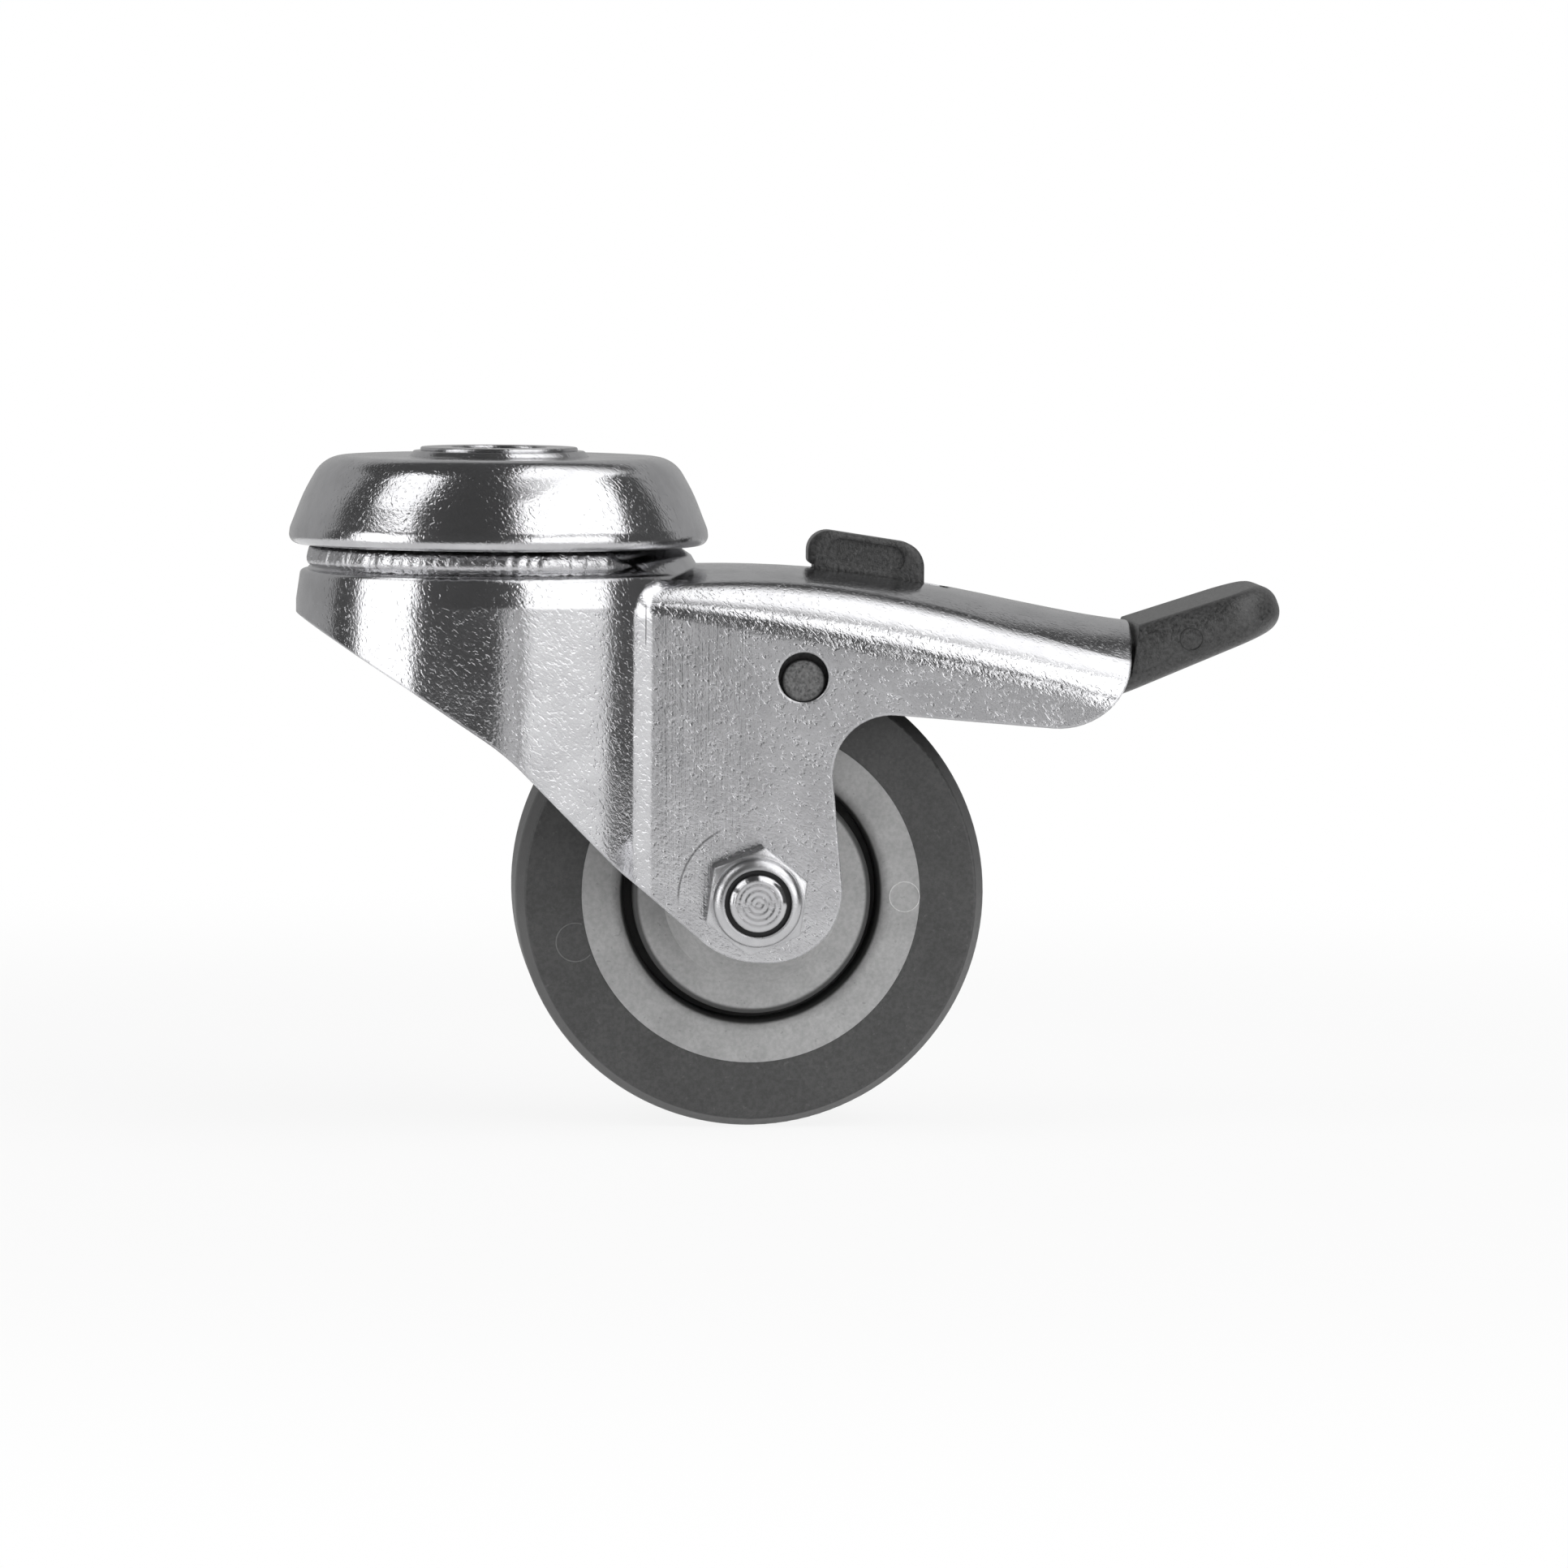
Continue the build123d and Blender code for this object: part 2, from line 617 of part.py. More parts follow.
def thread_guard(side):
    """Disc that covers the bearing, with a boss to the inner ring and one to the leg."""
    bore_r = SLEEVE_DIAMETER / 2 + SEAT_GAP
    boss_r = GUARD_BOSS_DIAMETER / 2
    disc_r = GUARD_DIAMETER / 2
    leg_y = FORK_GAP / 2
    face_y = leg_y - GUARD_STANDOFF
    back_y = face_y - GUARD_DISC
    guard = turned_axle(
        (bore_r, bearing_half),
        (inner_ring_r - SEAT_GAP, bearing_half),
        (boss_r, back_y),
        (disc_r, back_y),
        (disc_r, face_y, GUARD_EDGE_ROUND),
        (boss_r + GUARD_STANDOFF, face_y),
        (boss_r, leg_y),
        (bore_r, leg_y),
    )
    return guard if side > 0 else mirror(guard, Plane.XZ)


def wheel_rim():
    """Moulded wheel centre: a rib under the tyre, a recess each side, and lips over the bearing."""
    rim_r = RIM_DIAMETER / 2
    rib_r = RIM_RIB_DIAMETER / 2
    face_y = tyre_half + RIM_PROUD
    face_r = RIM_FACE_DIAMETER / 2
    recess_r = RIM_RECESS_DIAMETER / 2
    seat_r = BEARING_DIAMETER / 2
    web_y = bearing_half + RIM_LIP
    rib_y = RIM_RIB_WIDTH / 2
    half = [
        (rib_r, rib_y),
        (rim_r, rib_y),
        (rim_r, face_y),
        (face_r, face_y, RIM_RECESS_ROUND),
        (recess_r, face_y - (face_r - recess_r), RIM_RECESS_ROUND),
        (recess_r, web_y),
        (seat_r - RIM_LIP, web_y),
        (seat_r - RIM_LIP, bearing_half),
        (seat_r, bearing_half),
    ]
    other = [(corner[0], -corner[1], *corner[2:]) for corner in reversed(half)]
    return turned_axle(*half, *other)


def tyre():
    """Rubber tyre, moulded over the rim's rib, with flat sides and rounded shoulders."""
    rim_r = RIM_DIAMETER / 2
    rib_r = RIM_RIB_DIAMETER / 2
    rib_y = RIM_RIB_WIDTH / 2
    side_r = wheel_r - TYRE_CROWN
    tread_y = tyre_half - TYRE_SHOULDER
    half = [
        (wheel_r, tread_y, TYRE_SHOULDER),
        (side_r, tyre_half, TYRE_EDGE_ROUND),
        (rim_r, tyre_half),
        (rim_r, rib_y),
        (rib_r, rib_y),
    ]
    other = [(corner[0], -corner[1], *corner[2:]) for corner in reversed(half)]
    return turned_axle(*half, *other)


def bearing_track():
    """Ring that the bearing balls run in, opened by the running gap."""
    track = Torus(bearing_circle_r, BEARING_BALL / 2 + RUNNING_GAP)
    return Pos(axle_x, 0, axle_z) * (Rot(90, 0, 0) * track)


def bearing_ring(inner_r, outer_r):
    """Plain ring of the bearing's width with a ball track."""
    ring = turned_axle(
        (inner_r, -bearing_half), (outer_r, -bearing_half), (outer_r, bearing_half), (inner_r, bearing_half)
    )
    return ring - bearing_track()


def bearing_inner_ring():
    """Inner ring on the axle sleeve."""
    return bearing_ring(SLEEVE_DIAMETER / 2 + SEAT_GAP, inner_ring_r)


def bearing_outer_ring():
    """Outer ring in the rim's seat."""
    return bearing_ring(outer_ring_r, BEARING_DIAMETER / 2)


def bearing_ball_places(radius):
    """Balls of a given radius on the bearing's ball circle."""
    ring = ball_ring(BEARING_BALL_COUNT, radius, bearing_circle_r)
    return [Pos(axle_x, 0, axle_z) * (Rot(90, 0, 0) * ball) for ball in ring]


def bearing_balls():
    """The wheel bearing's balls."""
    return Compound(children=bearing_ball_places(BEARING_BALL / 2))


def bearing_cage():
    """Snap cage: a ring beside the balls with fingers up between them."""
    inner_r = bearing_circle_r - CAGE_RADIAL / 2
    outer_r = bearing_circle_r + CAGE_RADIAL / 2
    low_y = -BEARING_BALL / 2 - CAGE_BACK
    high_y = CAGE_FINGER
    ring = turned_axle((inner_r, low_y), (outer_r, low_y), (outer_r, high_y), (inner_r, high_y))
    for ball in bearing_ball_places(BEARING_BALL / 2 + RUNNING_GAP):
        ring -= ball
    return ring


def bearing_shield(side):
    """Thin pressed ring that closes one side of the bearing, fixed in the outer ring."""
    inner_r = inner_ring_r + SWIVEL_GAP
    outer_r = outer_ring_r - SEAT_GAP
    shield = turned_axle(
        (inner_r, shield_y),
        (outer_r, shield_y),
        (outer_r, shield_y + SHIELD_SHEET),
        (inner_r, shield_y + SHIELD_SHEET),
    )
    return shield if side > 0 else mirror(shield, Plane.XZ)


def from_pivot(offset):
    """Side-view point at a distance right of and below the lever's pivot."""
    return pivot_x + offset[0], pivot_z - offset[1]


def lever_core():
    """Side view of the lever inside the arm: nose over the tyre, brake shoe and neck."""
    nose_x = pivot_x - LEVER_NOSE
    shoe_x = pivot_x + LEVER_EYE / 2
    turn = radians(BRAKE_DEG)
    across = axle_x - pivot_x
    down = axle_z - pivot_z
    shoe_centre = (
        pivot_x + across * cos(turn) - down * sin(turn),
        pivot_z + across * sin(turn) + down * cos(turn),
    )
    neck_x = arm_end_x - PEDAL_ROOT
    neck_z = pedal_z - PEDAL_ROOT * tan(radians(PEDAL_TILT_DEG)) - PEDAL_THICKNESS / 2
    block = outline(
        (nose_x, crest_z),
        (nose_x, lever_under_z, LEVER_NOSE_ROUND),
        (shoe_x - SHOE_START, lever_under_z),
        (shoe_x + SHOE_START, pivot_z - PIVOT_BOSS / 2),
        from_pivot(SHOE_END),
        (*from_pivot(SHOE_BACK), SHOE_BACK_ROUND),
        (*from_pivot(NECK_START), NECK_ROUND),
        (neck_x, neck_z),
        (arm_end_x, pedal_z),
        (arm_end_x, crest_z),
    )
    return block - Pos(*shoe_centre) * Circle(wheel_r + SHOE_GAP)


def lever_pockets():
    """Two cored pockets under the neck, either side of a middle rib."""
    low_x = pivot_x + NECK_START[0]
    high_x = arm_end_x - PEDAL_ROOT - LEVER_WALL
    pocket = outline(
        (low_x, crest_z), (low_x, fork_floor_z), (high_x, fork_floor_z), (high_x, crest_z)
    )
    rib_y = LEVER_WALL / 2
    side_y = LEVER_CORE_WIDTH / 2 - LEVER_WALL
    pair = slab(pocket, rib_y, side_y) + slab(pocket, -side_y, -rib_y)
    return pair & arm_solid(FORK_SHEET + LEVER_GAP + LEVER_WALL)


def pedal():
    """Rounded foot plate, tilted up and thinner towards its nose, with its root in the arm's open end."""
    length = PEDAL_REACH + PEDAL_ROOT
    lean = tan(radians(PEDAL_TAPER_DEG / 2))
    root_half = PEDAL_THICKNESS / 2 + lean * PEDAL_ROOT
    nose_half = PEDAL_THICKNESS / 2 - lean * PEDAL_REACH
    wedge = outline(
        (-PEDAL_ROOT, -root_half),
        (PEDAL_REACH, -nose_half),
        (PEDAL_REACH, nose_half),
        (-PEDAL_ROOT, root_half),
    )
    plan = Pos(PEDAL_REACH - length / 2, 0, 0) * RectangleRounded(length, PEDAL_WIDTH, PEDAL_CORNER)
    plate = slab(wedge, -PEDAL_WIDTH, PEDAL_WIDTH) & extrude(plan, PEDAL_WIDTH, both=True)
    faces = plate.faces().sort_by(Axis.Z)
    plate = fillet(faces[0].edges() + faces[-1].edges(), PEDAL_EDGE_ROUND)
    tilt = radians(PEDAL_TILT_DEG)
    frame = Plane((arm_end_x, 0, pedal_z), x_dir=(cos(tilt), 0, sin(tilt)), z_dir=(-sin(tilt), 0, cos(tilt)))
    plate = frame.location * plate
    far_x = arm_end_x + WHEEL_DIAMETER
    low_x = arm_end_x + PEDAL_GAP + arm_slope * (fork_floor_z - arm_end_z)
    high_x = arm_end_x + PEDAL_GAP - arm_slope * arm_end_z
    beyond = outline((low_x, fork_floor_z), (high_x, 0), (far_x, 0), (far_x, fork_floor_z))
    outside = plate & slab(beyond, -DRUM_DIAMETER, DRUM_DIAMETER)
    return outside + (plate & arm_solid(FORK_SHEET + LEVER_GAP))


def tab():
    """Release tab: stands through the slot, hooked over its front end, with a sunk panel each side."""
    high_x = tab_x + TAB_LENGTH
    low_z = crest_z - 2 * FORK_SHEET - LEVER_GAP
    hook_z = crest_z + TAB_HOOK_GAP
    front_z = crest_z + TAB_HEIGHT
    back_z = front_z - TAB_FALL
    half = TAB_WIDTH / 2
    face = outline(
        (tab_x + TAB_HOOK, low_z),
        (tab_x + TAB_HOOK, hook_z),
        (tab_x, hook_z, TAB_EDGE_ROUND),
        (tab_x, front_z, TAB_FRONT_ROUND),
        (high_x, back_z, TAB_BACK_ROUND),
        (high_x, low_z - FORK_SHEET),
    )
    block = slab(face, -half, half)
    sides = block.faces().sort_by(Axis.Y)
    edges = [edge for edge in sides[0].edges() + sides[-1].edges() if edge.center().Z > hook_z]
    block = fillet(edges, TAB_EDGE_ROUND)
    spacing = TAB_PANEL_LENGTH - TAB_PANEL_WIDTH
    tilt = degrees(atan2(TAB_FALL, TAB_LENGTH))
    panel_z = (front_z + back_z) / 2 - TAB_HEIGHT / 2
    panel = Rot(0, 0, -tilt) * SlotCenterToCenter(spacing, TAB_PANEL_WIDTH)
    panel = Pos(tab_x + TAB_LENGTH / 2, panel_z) * panel
    block -= slab(panel, half - TAB_PANEL_DEPTH, half + TAB_WIDTH)
    return block - slab(panel, -half - TAB_WIDTH, TAB_PANEL_DEPTH - half)


def brake_lever():
    """One moulding: pedal, neck, tab, brake shoe, and two cheeks that hang on the fork by bosses."""
    core_half = LEVER_CORE_WIDTH / 2
    cheek_in = leg_half - FORK_SHEET - LEVER_GAP - LEVER_CHEEK
    nose_x = pivot_x - LEVER_NOSE
    heel_x = pivot_x + LEVER_EYE / 2
    bridge = outline(
        (nose_x, crest_z),
        (nose_x, lever_under_z, LEVER_NOSE_ROUND),
        (heel_x, lever_under_z),
        (heel_x, crest_z),
    )
    hanger = outline((nose_x, crest_z), (nose_x, pivot_z), (heel_x, pivot_z), (heel_x, crest_z))
    cheek = hanger + Pos(pivot_x, pivot_z) * Circle(LEVER_EYE / 2)
    body = slab(lever_core(), -core_half, core_half) + slab(bridge, -leg_half, leg_half)
    body += slab(cheek, cheek_in, leg_half) + slab(cheek, -leg_half, -cheek_in)
    body = body & arm_solid(FORK_SHEET + LEVER_GAP)
    boss = Pos(pivot_x, pivot_z) * Circle(PIVOT_BOSS / 2)
    boss_start = cheek_in + LEVER_CHEEK / 2
    boss_end = leg_half - PIVOT_RECESS
    body += slab(boss, boss_start, boss_end) + slab(boss, -boss_end, -boss_start)
    return body - lever_pockets() + pedal() + tab()


NODES = {
    "hollow_rivet": hollow_rivet,
    "top_cap": top_cap,
    "upper_balls": upper_balls,
    "fork": fork,
    "lower_balls": lower_balls,
    "lower_race": lower_race,
    "axle_bolt": axle_bolt,
    "axle_nut": axle_nut,
    "nut_insert": nut_insert,
    "axle_sleeve": axle_sleeve,
    "thread_guard_near": lambda: thread_guard(-1),
    "thread_guard_far": lambda: thread_guard(1),
    "wheel_rim": wheel_rim,
    "tyre": tyre,
    "bearing_outer_ring": bearing_outer_ring,
    "bearing_inner_ring": bearing_inner_ring,
    "bearing_balls": bearing_balls,
    "bearing_cage": bearing_cage,
    "bearing_shield_near": lambda: bearing_shield(-1),
    "bearing_shield_far": lambda: bearing_shield(1),
    "brake_lever": brake_lever,
}


def main():
    """Writes one STEP file for each piece."""
    os.makedirs("parts", exist_ok=True)
    for name, build in NODES.items():
        export_step(build(), f"parts/{name}.step")


if __name__ == "__main__":
    main()
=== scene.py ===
"""Looks of a bolt-hole swivel castor with a foot brake, laid over its CAD model.

Metres, in the CAD model's frame: the origin is on the swivel axis at the top of the hollow rivet,
+Z is up, +X points to the brake pedal and the axle lies along Y. The lock nut's side is -Y.
"""

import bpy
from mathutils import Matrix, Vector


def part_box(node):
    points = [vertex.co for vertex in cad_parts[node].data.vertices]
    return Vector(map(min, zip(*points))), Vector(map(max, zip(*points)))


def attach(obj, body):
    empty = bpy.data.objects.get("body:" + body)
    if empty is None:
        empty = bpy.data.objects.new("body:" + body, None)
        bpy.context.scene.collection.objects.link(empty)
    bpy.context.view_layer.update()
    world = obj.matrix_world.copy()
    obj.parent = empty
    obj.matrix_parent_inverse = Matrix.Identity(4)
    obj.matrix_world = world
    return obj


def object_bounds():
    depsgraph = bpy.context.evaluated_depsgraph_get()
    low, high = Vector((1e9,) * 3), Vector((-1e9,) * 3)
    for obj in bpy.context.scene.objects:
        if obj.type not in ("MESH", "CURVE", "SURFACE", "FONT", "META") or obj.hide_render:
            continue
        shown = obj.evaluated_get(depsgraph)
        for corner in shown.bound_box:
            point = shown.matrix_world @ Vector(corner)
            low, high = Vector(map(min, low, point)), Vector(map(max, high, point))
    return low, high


bl_info = {
    "name": "Swivel Castor Looks",
    "version": (1, 0, 0),
    "blender": (4, 5, 0),
    "location": "3D View > Sidebar > Castor",
    "description": "Finishes and small moulding marks for a swivel castor with a foot brake",
    "category": "Object",
}

import math

import bmesh
import bpy
from mathutils import Matrix, Vector, noise

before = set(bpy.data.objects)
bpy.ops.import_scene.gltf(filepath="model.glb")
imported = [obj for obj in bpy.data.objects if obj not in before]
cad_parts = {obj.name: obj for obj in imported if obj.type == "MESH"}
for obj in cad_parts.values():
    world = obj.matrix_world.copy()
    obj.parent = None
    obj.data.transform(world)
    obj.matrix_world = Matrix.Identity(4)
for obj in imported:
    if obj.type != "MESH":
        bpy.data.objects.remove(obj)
cad_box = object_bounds()

MM = 0.001
PHOTO_PIXELS = 1932

# Places read from the frame
tyre_low, tyre_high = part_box("tyre")
AXLE = (tyre_low + tyre_high) / 2
NEAR = Vector((0.0, -1.0, 0.0))

# Places of the moulding marks seen in the photograph, as distance from the axle and angle or as x and z,
# and of the lever's pivot with its bosses
RIM_MARK_PLACE = (16.35 * MM, -1.0)
TYRE_MARK_PLACE = (19.35 * MM, -164.4)
TYRE_MARK_ARC = 125
PEDAL_MARK_PLACE = (73.3 * MM, -19.7 * MM)
PIVOT = Vector((31.7, 0.0, -24.05)) * MM
PIVOT_BOSS_RADIUS = 2.25 * MM
PIVOT_BOSS_END = (14.2 * MM, 15.0 * MM)

# Camera, found by fitting the castor's own sizes to the photograph
CAMERA_TARGET = Vector((30.734, 0.0, -36.011)) * MM
CAMERA_DISTANCE = 950.0 * MM
CAMERA_AZIMUTH = -3.698
CAMERA_ELEVATION = 3.923
CAMERA_ROLL = 0.4
PIXELS_PER_MM = 11.485
SENSOR_WIDTH = 36.0
CAMERA_NEAREST = 0.05

# Soft boxes that face the castor: azimuth and elevation in degrees, width and height in metres,
# brightness
SIDE_DISTANCE = 0.95
SIDE_BOXES = {
    "low_left_box": (-69.7, 7.0, 0.62, 0.58, 2.3),
    "low_right_foot": (37.3, -4.0, 0.91, 0.22, 1.0),
    "low_right_box": (37.3, 13.0, 0.91, 0.36, 2.2),
    "high_left_box": (-72.0, 46.0, 0.40, 0.46, 2.0),
    "high_right_box": (46.0, 41.0, 0.98, 0.40, 2.2),
    "front_fill": (4.0, -2.0, 0.17, 0.33, 0.62),
}

# Soft box overhead that faces straight down: x and y of its middle, width and depth in metres,
# brightness. It fades towards its front and back, so it is made of ever shorter sheets.
TOP_HEIGHT = 0.9
TOP_BOX = (0.43, -0.09, 0.70, 1.27, 1.95)
TOP_SHEETS = (1.0, 0.88, 0.76, 0.64, 0.52, 0.4)
TOP_SHEET_STEP = 0.01
FACING_DOWN = (1.0, 0.0, 0.0, 0.0)

# Dark card tent in front of the castor and over it, with a grey scrim before the white world behind
TENT_RADIUS = 1.5
TENT_STEPS = (36, 18)
TENT_BACK = 0.34
TENT_TOP = 0.6
TENT_FOOT = -0.3
SCRIM_LIGHT = 0.45
CARD_COLOUR = "6E6E6E"

# Floor sheet
FLOOR_RADIUS = 0.34
FLOOR_STEPS = 96
FLOOR_FADE = (0.12, 0.32)
FLOOR_GLOW = (0.88, 1.0)
PAPER_WHITE = 0.9


def linear(code):
    """Linear colour from an sRGB hex code."""
    channels = [int(code[place:place + 2], 16) / 255 for place in (0, 2, 4)]
    return [c / 12.92 if c <= 0.04045 else ((c + 0.055) / 1.055) ** 2.4 for c in channels]


def add_node(owner, kind, inputs=None, **settings):
    """Adds a node, makes its settings, and fills its inputs with values or with other nodes' outputs."""
    tree = owner.node_tree
    node = tree.nodes.new(kind)
    for name, value in settings.items():
        setattr(node, name, value)
    for name, value in (inputs or {}).items():
        socket = node.inputs[name]
        if isinstance(value, bpy.types.NodeSocket):
            tree.links.new(value, socket)
        else:
            socket.default_value = value
    return node


def new_material(name):
    """Empty node material."""
    material = bpy.data.materials.new(name)
    material.use_nodes = True
    material.node_tree.nodes.clear()
    return material


def finish_material(material, shader):
    """Links a shader node to the material's output."""
    add_node(material, "ShaderNodeOutputMaterial", {"Surface": shader.outputs[0]})
    return material


def dress(material, *nodes):
    """Gives CAD nodes a material."""
    for name in nodes:
        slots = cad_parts[name].data.materials
        slots.clear()
        slots.append(material)


class CastorColours(bpy.types.PropertyGroup):
    """Colours of the castor's finishes."""

    zinc: bpy.props.FloatVectorProperty(
        name="Zinc plating", description="Pressed steel and fasteners", subtype="COLOR",
        default=linear("C6C6C8"), min=0.0, max=1.0)
    ground_steel: bpy.props.FloatVectorProperty(
        name="Bearing steel", description="Balls and bearing rings", subtype="COLOR",
        default=linear("BDBDBD"), min=0.0, max=1.0)
    tyre: bpy.props.FloatVectorProperty(
        name="Tyre", description="Grey rubber tread", subtype="COLOR",
        default=linear("4B4B4B"), min=0.0, max=1.0)
    rim: bpy.props.FloatVectorProperty(
        name="Wheel centre", description="Moulded wheel centre", subtype="COLOR",
        default=linear("B0B0B0"), min=0.0, max=1.0)
    guard: bpy.props.FloatVectorProperty(
        name="Thread guard", description="Discs over the bearing", subtype="COLOR",
        default=linear("ACACAC"), min=0.0, max=1.0)
    lever: bpy.props.FloatVectorProperty(
        name="Brake lever", description="Black moulding", subtype="COLOR",
        default=linear("3C3C3C"), min=0.0, max=1.0)
    insert: bpy.props.FloatVectorProperty(
        name="Lock ring", description="Nylon ring in the lock nut", subtype="COLOR",
        default=linear("1C1C1E"), min=0.0, max=1.0)


class CastorSizes(bpy.types.PropertyGroup):
    """Sizes of the castor's surface detail."""

    grain: bpy.props.FloatProperty(
        name="Sheet grain", description="Width of the plated sheet's flecks", unit="LENGTH",
        default=0.28 * MM, min=0.05 * MM, max=5 * MM, precision=6)
    edge_round: bpy.props.FloatProperty(
        name="Edge round", description="Rolled-over edge of the punched sheet", unit="LENGTH",
        default=0.4 * MM, min=0.0, max=2 * MM, precision=6)
    rim_mark: bpy.props.FloatProperty(
        name="Rim pin mark", description="Diameter of the ejector pin's ring on the wheel centre",
        unit="LENGTH", default=3.2 * MM, min=0.5 * MM, max=6 * MM, precision=6)
    tyre_mark: bpy.props.FloatProperty(
        name="Tyre pin mark", description="Diameter of the ejector pin's ring on the tyre",
        unit="LENGTH", default=4.1 * MM, min=0.5 * MM, max=8 * MM, precision=6)
    pedal_mark: bpy.props.FloatProperty(
        name="Pedal pin mark", description="Diameter of the ejector pin's ring on the pedal",
        unit="LENGTH", default=2.4 * MM, min=0.5 * MM, max=4 * MM, precision=6)
    mark_line: bpy.props.FloatProperty(
        name="Pin mark line", description="Width of the raised line round a pin mark", unit="LENGTH",
        default=0.14 * MM, min=0.02 * MM, max=1 * MM, precision=6)
    turning: bpy.props.FloatProperty(
        name="Turned rings", description="Spacing of the rings on the bolt's cut end", unit="LENGTH",
        default=0.62 * MM, min=0.1 * MM, max=2 * MM, precision=6)


# Where most of a noise texture's values lie
NOISE_RANGE = (0.3, 0.7)

# Levels of a fade that comes in, and of one that goes out
RISE = (0.0, 1.0)
FALL = (1.0, 0.0)


def faded(material, value, *fades):
    """Value times smooth fades, each given as what it runs along, two places on that and two levels."""
    for along, low, high, start, end in fades:
        fade = add_node(
            material, "ShaderNodeMapRange",
            {"Value": along, "From Min": low, "From Max": high, "To Min": start, "To Max": end},
            interpolation_type="SMOOTHSTEP")
        product = add_node(
            material, "ShaderNodeMath", {0: value, 1: fade.outputs[0]}, operation="MULTIPLY")
        value = product.outputs[0]
    return value


def from_line(material, where, centre):
    """Distance from the line along Y through a point."""
    away = add_node(
        material, "ShaderNodeVectorMath", {0: where.outputs["Object"], 1: tuple(centre)},
        operation="SUBTRACT")
    flat = add_node(
        material, "ShaderNodeVectorMath", {0: away.outputs[0], 1: (1.0, 0.0, 1.0)}, operation="MULTIPLY")
    reach = add_node(material, "ShaderNodeVectorMath", {0: flat.outputs[0]}, operation="LENGTH")
    return reach.outputs["Value"]


# Flecks of the plated sheet lie aslant, longer than wide, among shallow pits and on slow dents that bend
# the highlights' edges. Real flecks and pits are finer: these are as coarse as they need to be to show.
GRAIN_SLANT = math.radians(-45)
GRAIN_STRETCH = 1.7
GRAIN_DEPTH_SHARE = 0.06
PIT_SIZE = 0.36 * MM
PIT_EDGE = (0.52, 0.74)
ZINC_PIT_DEPTH = 0.012 * MM
DENT_SIZE = 6.0 * MM
DENT_DEPTH = 0.03 * MM
CLOUD_SIZE = 4.0 * MM

# Upright lines where the die dragged over the flat cheeks, strongest next to the drum
DRAW_LINE = 0.4 * MM
DRAW_LENGTH = 30.0 * MM
DRAW_DEPTH = 0.02 * MM
DRAW_FLAT = (0.985, 0.998)
DRAW_FADE_IN = (16.0 * MM, 17.5 * MM)
DRAW_FADE_OUT = (24.0 * MM, 30.0 * MM)
DRAW_LEFT = 0.25

# Painted shade of a short fold in the hollow beside the drum: a dark line drawn into the colour
FOLD_X = 15.02 * MM
FOLD_WIDTH = 0.11 * MM
FOLD_LOW = -21.0 * MM
FOLD_HIGH = -15.4 * MM
FOLD_FADE = 1.5 * MM
FOLD_SHADE = 0.35

# Darker arc on the near cheek beside the nut
DARK_ARC_RADIUS = (7.9 * MM, 8.3 * MM)
DARK_ARC_SHADE = 0.45
DARK_ARC_END = 3.8 * MM
DARK_ARC_FADE = 1.0 * MM


def zinc_grain(material, where, share):
    """Height in metres of the plated sheet's flecks, pits and dents."""
    sizes = bpy.context.scene.castor_sizes
    slanted = add_node(
        material, "ShaderNodeMapping",
        {"Vector": where.outputs["Object"], "Rotation": (0.0, GRAIN_SLANT, 0.0),
         "Scale": (1.0, 1.0, GRAIN_STRETCH)},
        vector_type="TEXTURE")
    flecks = add_node(
        material, "ShaderNodeTexNoise",
        {"Vector": slanted.outputs[0], "Scale": 1 / sizes.grain, "Detail": 2.0, "Roughness": 0.65})
    dents = add_node(
        material, "ShaderNodeTexNoise",
        {"Vector": where.outputs["Object"], "Scale": 1 / DENT_SIZE, "Detail": 0.0})
    pits = add_node(
        material, "ShaderNodeTexNoise",
        {"Vector": slanted.outputs[0], "Scale": 1 / PIT_SIZE, "Detail": 2.0})
    pitted = faded(material, -share * ZINC_PIT_DEPTH, (pits.outputs["Fac"], *PIT_EDGE, *RISE))
    flecked = add_node(
        material, "ShaderNodeMath",
        {0: flecks.outputs["Fac"], 1: share * GRAIN_DEPTH_SHARE * sizes.grain, 2: pitted},
        operation="MULTIPLY_ADD")
    dented = add_node(
        material, "ShaderNodeMath", {0: dents.outputs["Fac"], 1: DENT_DEPTH, 2: flecked.outputs[0]},
        operation="MULTIPLY_ADD")
    return dented.outputs[0]


def drawn_lines(material, where, height):
    """Height in metres with the die's upright drag lines added, on the flat cheeks only."""
    upright = add_node(
        material, "ShaderNodeMapping",
        {"Vector": where.outputs["Object"], "Scale": (DRAW_LINE, DRAW_LENGTH, DRAW_LENGTH)},
        vector_type="TEXTURE")
    lines = add_node(
        material, "ShaderNodeTexNoise",
        {"Vector": upright.outputs[0], "Scale": 1.0, "Detail": 3.0, "Roughness": 0.7})
    normal = add_node(material, "ShaderNodeSeparateXYZ", {0: where.outputs["Normal"]})
    side = add_node(material, "ShaderNodeMath", {0: normal.outputs["Y"]}, operation="ABSOLUTE")
    place = add_node(material, "ShaderNodeSeparateXYZ", {0: where.outputs["Object"]})
    streaks = faded(
        material, lines.outputs["Fac"],
        (side.outputs[0], *DRAW_FLAT, *RISE),
        (place.outputs["X"], *DRAW_FADE_IN, *RISE),
        (place.outputs["X"], *DRAW_FADE_OUT, 1.0, DRAW_LEFT))
    streaked = add_node(
        material, "ShaderNodeMath", {0: streaks, 1: DRAW_DEPTH, 2: height}, operation="MULTIPLY_ADD")
    return streaked.outputs[0]


